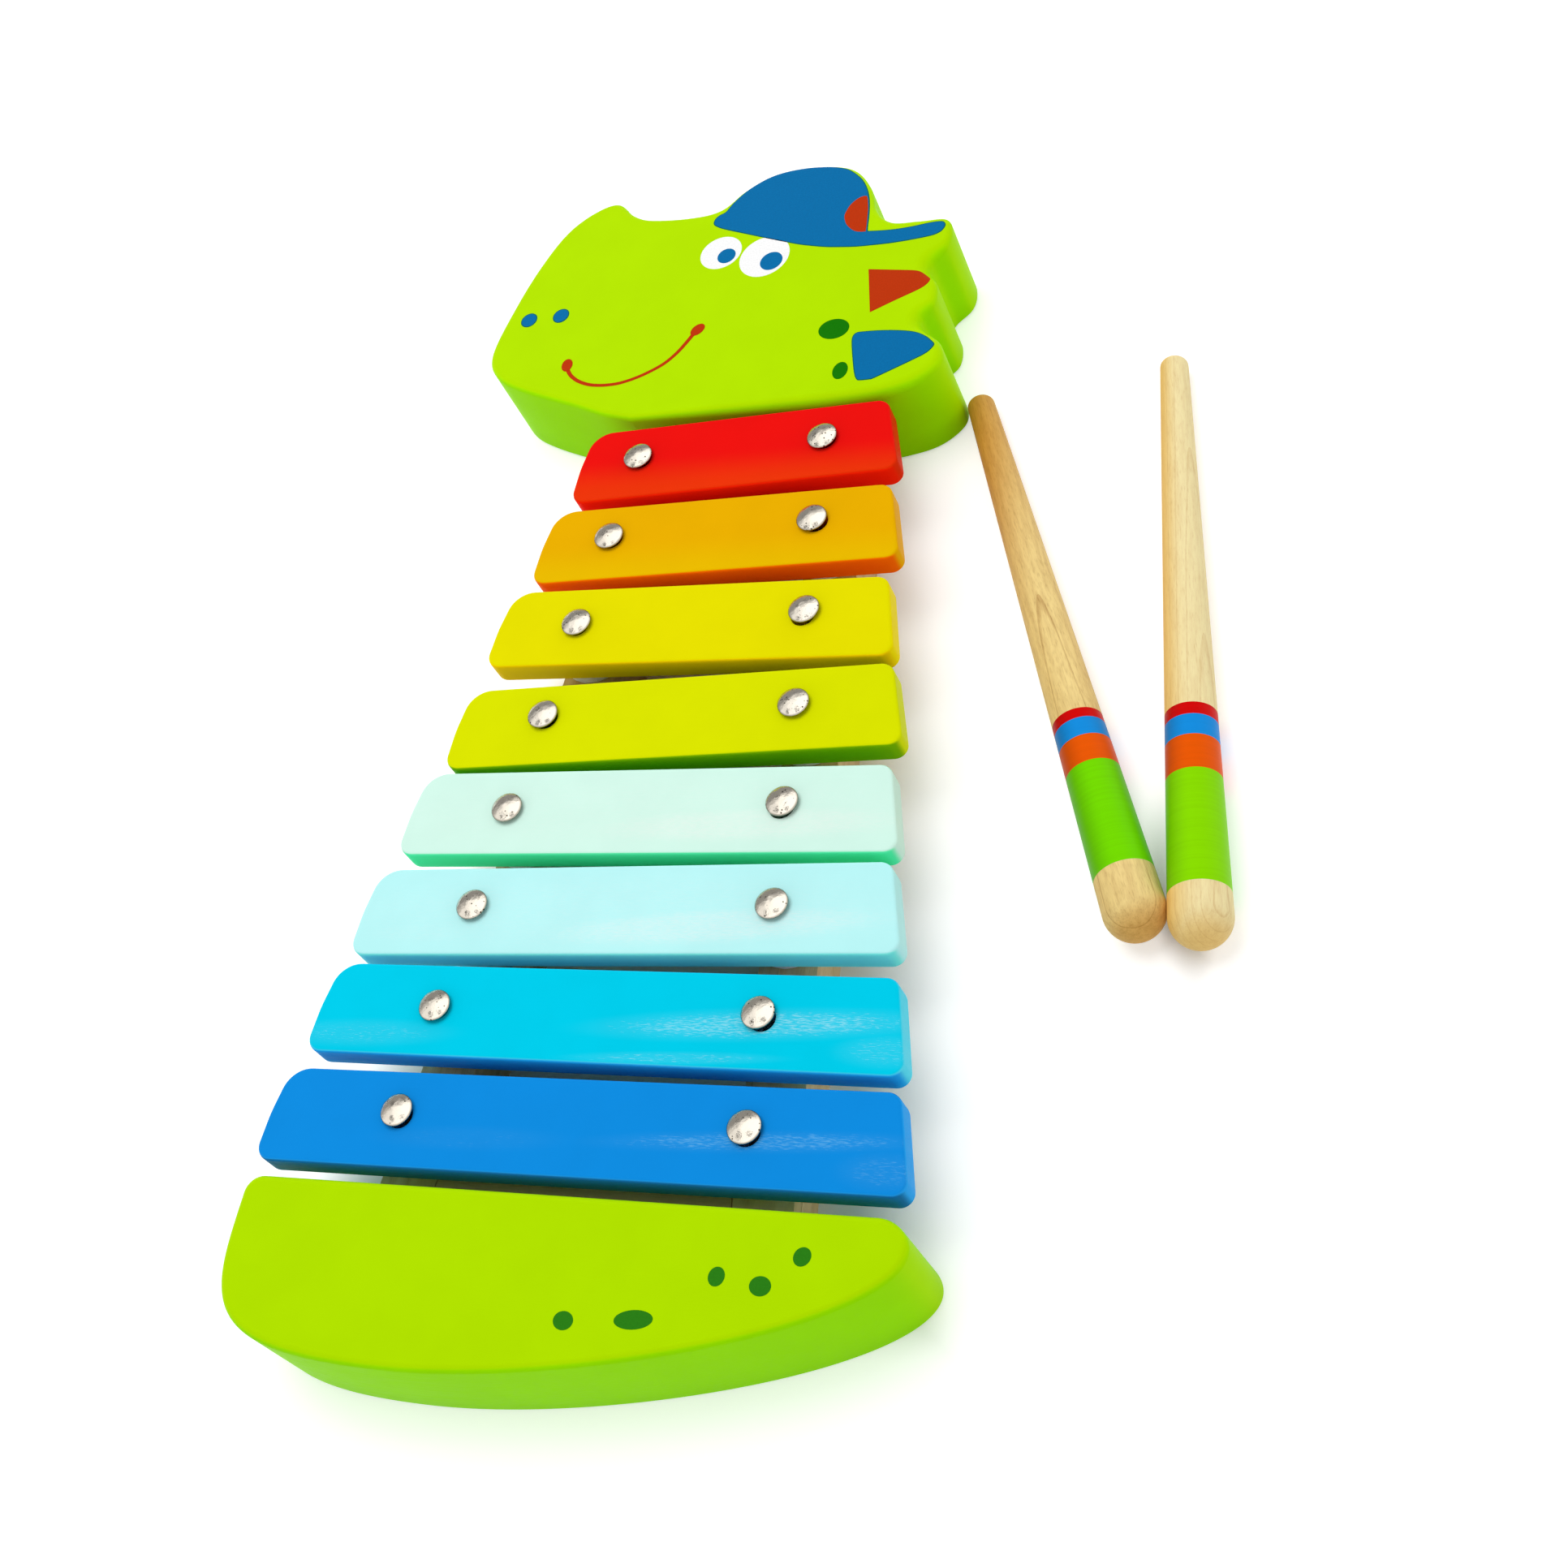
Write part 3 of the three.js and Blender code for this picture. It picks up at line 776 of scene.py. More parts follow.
def dowel_drills(end):
    """Drills for an end's two dowels, square to the block's straight face."""
    spread = crossing(rail_line(1, -RAIL_WIDTH / 2), face_line(end, 0)).x * DOWEL_SPREAD_SHARE
    in_cross = DOWEL_IN_CROSS + 2 * JOINT_GAP
    in_block = DOWEL_IN_BLOCK + JOINT_GAP
    radius = DOWEL_RADIUS + JOINT_GAP
    profile = [(0, -in_cross), (radius, -in_cross), (radius, in_block), (0, in_block)]
    drills = []
    for across in (-spread, spread):
        drill, _ = lathe("drill", profile, 32)
        drill.rotation_euler = (-end["side"] * math.pi / 2, 0, end["turn"])
        x, y = turned_by(np.array([across, 0.0]), end["turn"])
        drill.location = Vector((x, y + end["y"], RAIL_HEIGHT / 2)) * MM
        drills.append(drill)
    return drills


# %% [markdown]
# The upper edges are rounded more than the lower ones. Where a sanding drum went into the two
# notches beside the upper spike, and along the right half of the face beside the bars, it took off
# more still, and fades out to both sides.

# %% Blocks
# Each sanded stretch: its middle in shares of the head, how many millimetres it adds to the
# rounding, and how far it reaches
UPPER_EDGE = 1.8
SANDED = [(0.548, 0.527, 2.3, 5.5), (0.546, 0.302, 2.3, 5.5), (0.36, 0, 1.8, 36)]


def top_edge(points):
    """The radius of a block's rounded upper edge at points on its outline."""
    extra = np.zeros(len(points))
    for across, away, added, reach in SANDED:
        middle = (across * HEAD_HALF_LENGTH, away * HEAD_DEPTH + HEAD_FACE_Y)
        gap = np.linalg.norm(points - middle, axis=1)
        extra = np.maximum(extra, added * np.exp(-((gap / reach) ** 2)))
    return UPPER_EDGE + extra


# The front and side colours are painted shade and painted light on the blocks' upright faces
green_lacquer = lacquered_wood(
    "Green satin lacquer on wood", 1.0, top="#b7e900", front="#9eee00", side="#b4f200",
)
blocks = {}
for name, outline in (("head", head_outline), ("tail", tail_outline)):
    end = ENDS[name]
    blocks[name] = turned_by(outline, end["turn"]) + (0, end["y"])
    upper_edge = top_edge(blocks[name])
    block = board(f"{name}_board", blocks[name], BLOCK_HEIGHT, BLOCK_EDGE, upper_edge)
    join_or_cut(block, dowel_drills(end))
    block.data.set_sharp_from_angle(angle=SHARP)
    stand_for(block, f"{name}_block", "frame", green_lacquer)
    print(block.name, "faces:", len(block.data.polygons))

# %% [markdown]
# ## Lay the print on
#
# A print film is 0.04 mm of ink. Its top follows the board, also where it reaches a little way
# over the rounded edge, and its underside is sunk in the lacquer. A second layer, such as a pupil
# on the white of an eye, lies a little higher.


# %% Films of ink
FILM_LIFT = 0.04
FILM_SINK = 0.05
FILM_SPACING = 2.5
FILM_MARGIN = 0.4
PRINT_SHIFT = 0.4
THIN_INK = 0.22

# A film has lines of corners at these distances from the board's outline, to bend over its edge
EDGE_LINES = (0.55, 0.7, 0.85, 1, 1.15, 1.3, 1.5, 1.7, 2, 2.4, 2.8, 3.3, 3.8, 4.3)


def board_top(points, outline):
    """The height of a block's upper side over each point, with its rounded edge."""
    edge = top_edge(nearest_on(points, outline))
    short = np.clip(edge - distance_to(points, outline), 0, edge)
    return BLOCK_HEIGHT - edge + np.sqrt(edge**2 - short**2)


def kept_in(points, outline, margin):
    """The points, moved where they come nearer than a margin to the outline round them."""
    edge = nearest_on(points, outline)
    way = points - edge
    away = np.linalg.norm(way, axis=1)
    way = way / np.maximum(away, TINY)[:, None]
    within = inside(points, outline)
    way[~within] *= -1
    near = ~within | (away < margin)
    return np.where(near[:, None], edge + way * margin, points)


def film(name, block, outline, ink, layer=1):
    """A film of ink whose outline is in millimetres from the middle of a block's straight face,
    square to the whole toy."""
    edge = blocks[block]
    outline = kept_in(outline + (PRINT_SHIFT, ENDS[block]["y"]), edge, FILM_MARGIN)
    low, high = outline.min(0), outline.max(0)
    grid = np.stack(np.meshgrid(
        np.arange(low[0], high[0], FILM_SPACING), np.arange(low[1], high[1], FILM_SPACING),
    ), axis=-1).reshape(-1, 2)
    lines = np.concatenate([grid, *(inset(edge, line) for line in EDGE_LINES)])
    lines = lines[inside(lines, outline)]
    lines = lines[distance_to(lines, outline) > FILM_LIFT]
    flat, triangles, became = fill([outline], [lines])
    base = board_top(flat, edge)
    lift = FILM_LIFT * layer
    count = len(flat)
    corners = [(x, y, z + lift) for (x, y), z in zip(flat, base)]
    corners += [(x, y, z + lift - FILM_LIFT - FILM_SINK) for (x, y), z in zip(flat, base)]
    faces = [tuple(t) for t in triangles] + [tuple(i + count for i in t[::-1]) for t in triangles]
    rim = [became[i] for i in range(len(outline))]
    for i, j in zip(rim, rim[1:] + rim[:1]):
        faces.append((i, i + count, j + count, j))
    made = make_object(name, corners, faces)
    made.data.materials.append(INKS[ink])
    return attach(made, "frame")


def blue_print(name, outline):
    """Blue ink straight on the green head. Its edge is thin, so the green darkens it there."""
    film(f"{name}_edge", "head", inset(outline, -THIN_INK), "teal")
    film(name, "head", inset(outline, THIN_INK / 3), "blue", 2)


# %% [markdown]
# The eyes, pupils and nostrils are ovals. The smile is a smooth line that is a little wider at its
# ends, where two small ovals close it. Sizes are in millimetres from the middle of the straight
# face.

# %% The face
film("print_eye_left", "head", oval(-20.4, 64.6, 6.87, 6.63), "white")
film("print_eye_right", "head", oval(-5.1, 60.8, 8.2, 8.2), "white")
film("print_pupil_left", "head", oval(-18.2, 63.0, 3.0, 3.0), "blue", 2)
film("print_pupil_right", "head", oval(-2.4, 58.6, 3.66, 3.66), "blue", 2)
blue_print("print_nostril_left", oval(-82.5, 45.2, 2.6, 2.65))
blue_print("print_nostril_right", oval(-71.3, 45.6, 2.6, 2.65))

SMILE = [
    (-63.4, 23.2), (-62.4, 21.4), (-60.9, 19.6), (-58.2, 17.5), (-54.5, 15.8), (-50.8, 15.0),
    (-47.1, 14.8), (-43.4, 15.1), (-38.8, 16.4), (-34.2, 18.5), (-30.0, 21.2), (-26.8, 24.7),
    (-24.5, 28.4), (-22.4, 32.4),
]
SMILE_HALF_WIDTH = 0.58
SMILE_FLARE = 0.12
smile_line = np.array([tuple(p) for p in smooth_run(SMILE, 6)])
smile_way = np.gradient(smile_line, axis=0)
smile_side = np.stack([-smile_way[:, 1], smile_way[:, 0]], axis=1)
smile_side /= np.linalg.norm(smile_side, axis=1)[:, None]
smile_ends = np.abs(np.linspace(-1, 1, len(smile_line)))[:, None] ** 3
smile_half = SMILE_HALF_WIDTH + SMILE_FLARE * smile_ends
smile_outline = np.concatenate([
    smile_line - smile_side * smile_half, (smile_line + smile_side * smile_half)[::-1],
])
film("print_smile", "head", smile_outline, "red")
film("print_smile_end_left", "head", oval(-63.8, 24.5, 1.85, 2.5, 8), "red", 2)
film("print_smile_end_right", "head", oval(-21.6, 33.5, 2.55, 1.9, 48), "red", 2)
print("corners in the smile's outline:", len(smile_outline))

# %% [markdown]
# The cap's print follows the crown of the board and runs out into the brim. Where the dome meets
# the brim it has one sharp corner, which is where its single run of points starts and ends.

# %% The cap, the spikes and the spots
CAP = [
    (27.5, 66.2), (31.4, 65.8), (36.6, 65.6), (41.8, 65.9), (46.4, 66.5), (49.8, 66.7),
    (51.6, 66.3), (52.3, 64.9), (51.7, 63.2), (50.4, 62.1), (48.1, 61.4), (42.9, 60.8),
    (36.6, 60.4), (30.8, 60.4), (25.0, 60.6), (19.8, 61.2), (14.7, 62.0), (9.5, 63.3),
    (4.8, 64.7), (-3.8, 67.9), (-13.0, 71.5), (-21.1, 74.7), (-24.0, 76.2), (-25.4, 77.5),
    (-25.4, 79.3), (-24.3, 80.8), (-22.3, 82.0), (-20.5, 85.3), (-17.7, 89.1), (-14.7, 92.3),
    (-10.7, 94.7), (-6.7, 96.3), (-2.7, 97.1), (2.0, 97.3), (6.0, 96.9), (10.0, 96.2),
    (13.5, 95.1), (16.4, 93.8), (19.3, 91.4), (21.9, 88.6), (23.9, 85.1), (25.3, 81.3),
    (26.3, 76.7), (26.9, 72.1), (27.2, 68.1), (27.5, 66.2),
]
BADGE = [
    [(25.3, 79.9), (24.8, 81.1), (23.6, 81.3), (21.9, 80.5), (20.1, 78.5), (19.2, 76.2),
     (18.8, 73.8), (19.8, 70.7), (21.3, 68.7), (23.3, 67.0), (25.6, 66.3), (27.0, 66.3)],
    [(27.0, 66.3), (26.9, 68.1), (26.6, 71.5), (26.1, 76.0), (25.3, 79.9)],
]
RED_SPIKE = [
    [(30.6, 50.5), (38.3, 49.2), (45.2, 48.0), (48.1, 47.0), (50.4, 44.9), (50.9, 43.6),
     (50.4, 42.1), (48.1, 40.2), (41.2, 36.8), (34.0, 33.1)],
    [(34.0, 33.1), (30.6, 50.5)],
]
BLUE_SPIKE = [[
    (30.8, 20.2), (30.3, 23.1), (30.5, 24.7), (31.4, 25.5), (33.1, 25.6), (38.3, 25.4),
    (44.1, 24.7), (49.3, 23.5), (52.7, 21.8), (55.0, 19.6), (56.0, 18.2), (55.5, 16.7),
    (53.9, 15.0), (49.8, 12.7), (44.7, 10.1), (39.5, 7.5), (38.3, 7.2), (35.4, 7.2),
    (34.4, 7.7), (33.4, 9.8), (32.0, 15.0), (30.8, 20.2),
]]
blue_print("print_cap", closed_outline([CAP]))
film("print_badge", "head", closed_outline(BADGE), "red", 3)
film("print_spike_upper", "head", closed_outline(RED_SPIKE), "red")
blue_print("print_spike_lower", closed_outline(BLUE_SPIKE))
film("print_spot_head_1", "head", oval(23.6, 28.0, 4.85, 3.87, -3), "dark green")
film("print_spot_head_2", "head", oval(28.5, 11.5, 2.37, 3.23), "dark green")
TAIL_SPOTS = [
    (10.8, -30.9, 2.65, 2.28, -12), (28.6, -29.5, 4.93, 2.33, 5), (47.1, -18.0, 2.09, 2.37, 0),
    (58.3, -19.6, 2.74, 2.37, -12), (67.2, -12.1, 2.18, 2.33, -20),
]
for number, spot in enumerate(TAIL_SPOTS, start=1):
    film(f"print_spot_tail_{number}", "tail", oval(*spot), "moss green")
print("spots on the tail:", len(TAIL_SPOTS))

# %% [markdown]
# ## Beech
#
# The rails and cross pieces are bare planed beech: pale, a little pink, with fine dark pores along
# the grain. A pore streak is about 0.25 mm wide and 5 mm long, and the growth bands are 3 mm wide
# and run for 110 mm. Both are one stretched noise pattern at two sizes, each darkening the wood by
# its own share.


# %% Bare wood
def bare_wood(name, light, dark, seed, along):
    """Bare wood with its grain along X, Y or Z: soft growth bands and fine pore streaks."""
    made, tree = new_material(name)
    place = add_node(tree, "TexCoord").outputs["Object"]
    layers = []
    for width, length, start, full, share in ((3.2, 110, 0.35, 0.65, 0.5),
                                              (0.25, 5, 0.52, 0.75, 0.45)):
        sizes = [length if axis == along else width for axis in "XYZ"]
        layers.append(add_node(tree, "MapRange", {
            "Value": streaks(tree, place, sizes, seed, 2, Distortion=0.4),
            "From Min": start, "From Max": full, "To Max": share,
        }))
    pores = layers[1]
    both = add_node(tree, "Math", layers, operation="ADD", use_clamp=True)
    finish_material(tree, {
        "Base Color": add_node(tree, "Mix", {
            0: both, 6: linear(light), 7: linear(dark),
        }, **AS_COLOURS),
        "Normal": add_node(tree, "Bump", {
            "Height": pores, "Strength": 0.4, "Distance": 0.06 * MM,
        }, invert=True),
        "Roughness": 0.62, "IOR": 1.5, "Specular IOR Level": 0.35,
    })
    return made


beech_along = bare_wood("Planed beech along Y", "#e2c598", "#c19a66", 3.0, "Y")
beech_across = bare_wood("Planed beech along X", "#dfc092", "#bb925e", 5.0, "X")
print("woods:", beech_along.name, "and", beech_across.name)

# %% [markdown]
# ## The frame under the bars
#
# Two rails, 16 mm square, converge towards the head. A cross piece at each end has a tenon that
# fills an open slot in the rail's end, so the joint shows three layers, and its glue line a fine
# dark one. Each piece is sawn from straight stock, so it is a slab with straight sides, cut with
# the same slots and bores as the CAD solid, with its edges just broken.

# %% Rails
RAIL_HALF = RAIL_WIDTH / 2
CROSS_FAR = JOINT_GAP + CROSS_DEPTH
NAIL_LENGTH = 28
BROKEN_EDGE = 0.35


def four_sided(*lines):
    """The corners where four lines cross, each with the next."""
    return [crossing(line, lines[(i + 1) % 4]) for i, line in enumerate(lines)]


for name, side in SIDES:
    plan = four_sided(
        rail_line(side, RAIL_HALF), face_line(ENDS["head"], JOINT_GAP),
        rail_line(side, -RAIL_HALF), face_line(ENDS["tail"], JOINT_GAP),
    )
    rail = slab(f"{name}_rail", plan if side > 0 else plan[::-1], 0, RAIL_HEIGHT)
    cutters = []
    for end in ENDS.values():
        slot = four_sided(
            rail_line(side, RAIL_HALF + CUT_OVERRUN), face_line(end, -CUT_OVERRUN),
            rail_line(side, -RAIL_HALF - CUT_OVERRUN), face_line(end, CROSS_FAR + JOINT_GAP),
        )
        upright = side * end["side"] > 0
        cutters.append(slab("slot", slot if upright else slot[::-1],
                            TENON_BOTTOM - JOINT_GAP, TENON_BOTTOM + TENON_HEIGHT + JOINT_GAP))
    bottom = NAIL_HEAD_BOTTOM - NAIL_LENGTH - JOINT_GAP
    bore_radius = NAIL_SHANK + JOINT_GAP
    for row in range(ROW_COUNT):
        profile = [(0, bottom), (bore_radius, bottom), (bore_radius, RAIL_HEIGHT + CUT_OVERRUN),
                   (0, RAIL_HEIGHT + CUT_OVERRUN)]
        bore, _ = lathe("bore", profile, 24)
        bore.location = Vector((*nail_place(side, row), 0)) * MM
        cutters.append(bore)
    join_or_cut(rail, cutters)
    break_edges(rail, BROKEN_EDGE)
    stand_for(rail, f"rail_{name}", "frame", beech_along)
    print(rail.name, "faces:", len(rail.data.polygons))

# %% [markdown]
# A cross piece and its two tenons reach to the rails' outer sides. The piece is a slab between the
# rails, joined with a thinner one that is as wide as the frame.

# %% Cross pieces
for name, end in ENDS.items():
    def cross_plan(outwards):
        corners = four_sided(
            rail_line(-1, outwards), face_line(end, JOINT_GAP),
            rail_line(1, outwards), face_line(end, CROSS_FAR),
        )
        return corners if end["side"] < 0 else corners[::-1]

    cross = slab(f"{name}_cross", cross_plan(-RAIL_HALF - JOINT_GAP), 0, RAIL_HEIGHT)
    tenons = slab("tenons", cross_plan(RAIL_HALF), TENON_BOTTOM, TENON_BOTTOM + TENON_HEIGHT)
    join_or_cut(cross, [tenons], "UNION")
    join_or_cut(cross, dowel_drills(end))
    break_edges(cross, BROKEN_EDGE)
    stand_for(cross, f"{name}_cross_piece", "frame", beech_across)
    print(cross.name, "faces:", len(cross.data.polygons))

# The hidden dowels keep their CAD shape and only take the wood
for node in ("head_dowel_left", "head_dowel_right", "tail_dowel_left", "tail_dowel_right"):
    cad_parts[node].data.materials.clear()
    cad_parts[node].data.materials.append(beech_along)

# %% [markdown]
# ## The bars
#
# A bar is a strip of wood with slanted ends, wider towards the tail. Its left end bends a little
# halfway across, and its left head corner has been sanded roundest. So its outline is five corners,
# and each is rounded by its own radius.

# %% Outline of a bar
BAR_RIGHT_SLANT = 13.5
BAR_LEFT_SLANTS = {"tail": 3.5, "head": 10.5}
BAR_CORNERS = {"left tail": 4.6, "right tail": 3.4, "right head": 4.2, "left head": 7.5}
BAR_LEFT_BEND = 40
CORNER_STEPS = 10


def rounded_corner(before, corner, after, radius):
    """Points on the arc that rounds a corner."""
    first, second = (before - corner).normalized(), (after - corner).normalized()
    half = first.angle(second) / 2
    centre = corner + (first + second).normalized() * (radius / math.sin(half))
    reach = radius / math.tan(half)
    start, end = corner + first * reach - centre, corner + second * reach - centre
    swing = start.angle_signed(end)
    turns = [-swing * step / CORNER_STEPS for step in range(CORNER_STEPS + 1)]
    return [centre + Matrix.Rotation(turn, 2) @ start for turn in turns]


def bar_outline(row):
    """A bar in plan, before it is turned, with its nails' middle at the origin."""
    half_length = (FIRST_BAR_LENGTH + row * BAR_LENGTH_STEP) / 2
    half_width = BAR_WIDTH / 2

    def flare(slant):
        return half_width * math.tan(math.radians(slant))

    left_tail, left_head = BAR_LEFT_SLANTS["tail"], BAR_LEFT_SLANTS["head"]
    corners = [
        (Vector((-half_length - flare(left_tail), -half_width)), BAR_CORNERS["left tail"]),
        (Vector((half_length + flare(BAR_RIGHT_SLANT), -half_width)), BAR_CORNERS["right tail"]),
        (Vector((half_length - flare(BAR_RIGHT_SLANT), half_width)), BAR_CORNERS["right head"]),
        (Vector((-half_length + flare(left_head), half_width)), BAR_CORNERS["left head"]),
        (Vector((-half_length, 0)), BAR_LEFT_BEND),
    ]
    drawn = []
    for i, (corner, radius) in enumerate(corners):
        before, after = corners[i - 1][0], corners[(i + 1) % len(corners)][0]
        drawn += rounded_corner(before, corner, after, radius)
    return np.array([tuple(p) for p in drawn])


print("corners in a bar's outline:", len(bar_outline(0)))

# %% [markdown]
# The holes are drilled by eye, so a dark sliver of one shows beside some of the nail heads. It is
# easiest to say what the picture shows of a sliver, how wide it is and which way it lies. The
# hole's place follows from that and from the line of sight past the rim of the nail's head.

# %% Holes in the bars
DRILLED_RADIUS = 3.5
NAIL_HEAD = 4.45
NAIL_HEAD_LOW = 0.1

# For the left and the right nail of each bar, how wide the sliver is in millimetres and which way
# it lies in degrees, anticlockwise from the right
SLIVERS = {
    "red": ((0.55, -35), (0.5, -40)),
    "orange": ((0.5, -35), (1.15, -40)),
    "yellow": ((0.2, -100), (0.85, -120)),
    "lime": ((0.95, -50), None),
    "mint": (None, (0.6, -115)),
    "light_blue": (None, None),
    "cyan": ((0.15, -30), (1.25, -60)),
    "blue": ((1.1, -60), (0.8, -75)),
}

picture_right = Euler([math.radians(angle) for angle in CAMERA_TILTS]).to_matrix().col[0]
CAMERA_TURN = math.atan2(picture_right.y, picture_right.x)


def drilled_hole(side, row, sliver):
    """A hole in a bar, set off so that a sliver of it shows beside its nail's head."""
    nail = np.array(nail_place(side, row))
    if not sliver:
        return circle(nail[0], nail[1] - row_y(row), BAR_HOLE)
    width, angle = sliver
    angle = math.radians(angle) + CAMERA_TURN
    way = np.array([math.cos(angle), math.sin(angle)])
    to_camera = np.array(CAMERA_PLACE[:2]) - nail
    lean = to_camera / (CAMERA_PLACE[2] - NAIL_HEAD_BOTTOM)
    seen_height = BAR_PLAY + NAIL_HEAD_LOW
    off = width + NAIL_HEAD - DRILLED_RADIUS - seen_height * (lean @ way)
    x, y = nail + off * way
    return circle(x, y - row_y(row), DRILLED_RADIUS)


print("slivers:", sum(sliver is not None for pair in SLIVERS.values() for sliver in pair))

# %% [markdown]
# Every bar has its own paint and its own grain. The upper face, the front and the ends differ a
# little in colour, as painted shade and painted light for the part of the room each faces. The
# cool colours also have long patches of painted highlights.

# %% Paints of the bars
# Each bar's lacquer: the colours of its top, and the painted shade and light of its front and ends,
# and for some those of the top's tail side, a painted tint of bounced light, and of the painted
# highlights, which show in patches along the bar
BAR_PAINTS = {
    "red": {"top": "#f2120f", "front": "#ff2404", "side": "#e83008", "low": "#f0360a"},
    "orange": {"top": "#eeb200", "front": "#ff6c00", "side": "#f4b400", "low": "#eebe00"},
    "yellow": {"top": "#ebe400", "front": "#ffd400", "side": "#ffec00"},
    "lime": {"top": "#dfe900", "front": "#7cb400", "side": "#e0ec08"},
    "mint": {"top": "#d9fff0", "front": "#5cffb8", "side": "#dcfff0", "highlight_colour": "#eefff5",
             "patches": [(30, -6, 52, 6, 1, 0.75), (0, -1, 95, 14, 0, 0.3)],
             "dashes": BROAD},
    "light_blue": {"top": "#bffefe", "front": "#84fff0", "side": "#c4ffff", "highlight_colour": "#f2fffd",
                   "patches": [(27, -5.5, 56, 6, 3, 0.6), (-56, -7.5, 20, 3.6, 0, 0.25),
                               (0, -1, 100, 14, 0, 0.25)],
                   "dashes": BROAD},
    "cyan": {"top": "#00d3f2", "front": "#20b0ff", "side": "#5ce6ff", "highlight_colour": "#acecfa",
             "patches": [(46, -2.6, 48, 4.4, 2, 0.62), (-66, -7, 28, 4, 1, 0.36),
                         (24, -12, 30, 1.8, 1, 0.45), (80, -9, 14, 4.5, 0, 0.42)]},
    "blue": {"top": "#1091e8", "front": "#1870b4", "side": "#2cacff", "highlight_colour": "#74c2f4",
             "patches": [(52, -2.9, 46, 2.9, 2, 0.6), (-26, -5, 28, 3.4, 1, 0.26),
                         (84, -9, 12, 5, 0, 0.45)]},
}
print("paints:", ", ".join(BAR_PAINTS))

# %% [markdown]
# A bar lies loose on its washers, so each one is turned and shifted a little, within the play that
# its holes leave round the nails.

# %% Bars
BAR_EDGE = 0.9
BAR_PIN_OFFSET = 1.2

# How each bar is turned, and how far it has shifted to the right and to the head, as shares of the
# play round a nail
BARS = {
    "red": (2.1, (0.5, 0.23)),
    "orange": (0.8, (0.62, 0.38)),
    "yellow": (-1, (-0.38, 0.27)),
    "lime": (1.6, (0.46, -0.58)),
    "mint": (-0.4, (-0.23, -0.04)),
    "light_blue": (0.4, (-0.5, 0.38)),
    "cyan": (-1, (0.46, 0.23)),
    "blue": (-0.65, (0.5, 0.12)),
}

for row, (name, (turn, shift)) in enumerate(BARS.items()):
    shift = np.array(shift) * NAIL_PLAY - (0, BAR_PIN_OFFSET)
    outline = turned_by(bar_outline(row) + shift, math.radians(turn))
    holes = [drilled_hole(side, row, sliver) for side, sliver in zip((-1, 1), SLIVERS[name])]
    bar = board(f"{name}_bar", outline, BAR_THICKNESS, BAR_EDGE, BAR_EDGE, holes)
    bar.location = Vector((0, row_y(row), BAR_BOTTOM)) * MM
    paint_name = f"{name.replace('_', ' ').capitalize()} satin lacquer on wood"
    lacquer = lacquered_wood(paint_name, 10.0 + row, **BAR_PAINTS[name])
    stand_for(bar, f"bar_{name}", f"bar_{name}", lacquer)
print("bar faces:", len(bar.data.polygons))

# %% [markdown]
# ## Felt washers
#
# Each nail passes through a thick washer punched from wool felt, on which the bar can ring. Felt
# has no weave: it is a mat of fibres, with a soft edge and a woolly, matt surface that catches the
# light at its rim. The washer is a turned piece with rounded rims whose surface is then pushed in
# and out by smooth noise, finely enough to look fibrous.


# %% Felt
def wool_felt(name, colour):
    """Matted wool: a colour that clouds from tuft to tuft, 2.2 mm across, a rough relief of
    fibres, 0.3 mm, and a soft sheen."""
    made, tree = new_material(name)
    place = add_node(tree, "TexCoord").outputs["Object"]
    tufts = add_node(tree, "TexNoise", {
        "Vector": place, "Scale": 1 / (2.2 * MM), "Detail": 4,
    })
    fibres = add_node(tree, "TexNoise", {
        "Vector": place, "Scale": 1 / (0.3 * MM), "Detail": 4, "Distortion": 2.5,
    })
    value = add_node(tree, "MapRange", {
        "Value": tufts, "From Min": 0.3, "From Max": 0.7, "To Min": 0.86, "To Max": 1.04,
    })
    finish_material(tree, {
        "Base Color": add_node(tree, "HueSaturation", {"Color": linear(colour), "Value": value}),
        "Normal": add_node(tree, "Bump", {
            "Height": fibres, "Strength": 0.8, "Distance": 0.15 * MM,
        }),
        "Roughness": 0.95, "Specular IOR Level": 0.2,
        "Sheen Weight": 0.3, "Sheen Roughness": 0.5,
    })
    return made


felt = wool_felt("White wool felt", "#f6f7fb")
print("felt:", felt.name)

# %% [markdown]
# A real washer isn't a true ring. Its turned mesh has many corners on its side and faces, and each
# of them moves in or out a little, in lumps and in tufts, and no two washers alike.

# %% Washers
WASHER_RADIUS = 10.6
WASHER_BORE = 2
WASHER_RIM = 0.9

# How many millimetres the felt's surface goes in and out, how fine its lumps and its tufts are,
# how much the tufts count, and how wide a ring round the bore stays as it is
FELT_RELIEF = 0.16
LUMPS, TUFTS, TUFT_SHARE = 0.9, 2.3, 0.6
STILL_RING = 1


def washer_profile():
    """A closed profile from the bore's foot, outwards, up and back."""
    inner, outer, top, rim = WASHER_BORE, WASHER_RADIUS, WASHER_THICKNESS, WASHER_RIM
    turns = np.linspace(0, math.pi / 2, 4)
    profile = [(r, 0) for r in np.linspace(inner, outer - rim, 12)]
    profile += [(outer - rim + rim * math.sin(a), rim - rim * math.cos(a)) for a in turns[1:]]
    profile += [(outer, up) for up in np.linspace(rim, top - rim, 10)[1:]]
    profile += [(outer - rim + rim * math.cos(a), top - rim + rim * math.sin(a)) for a in turns[1:]]
    profile += [(r, top) for r in np.linspace(outer - rim, inner, 12)[1:]]
    profile += [(inner, up) for up in np.linspace(top, 0, 6)[1:-1]]
    return profile


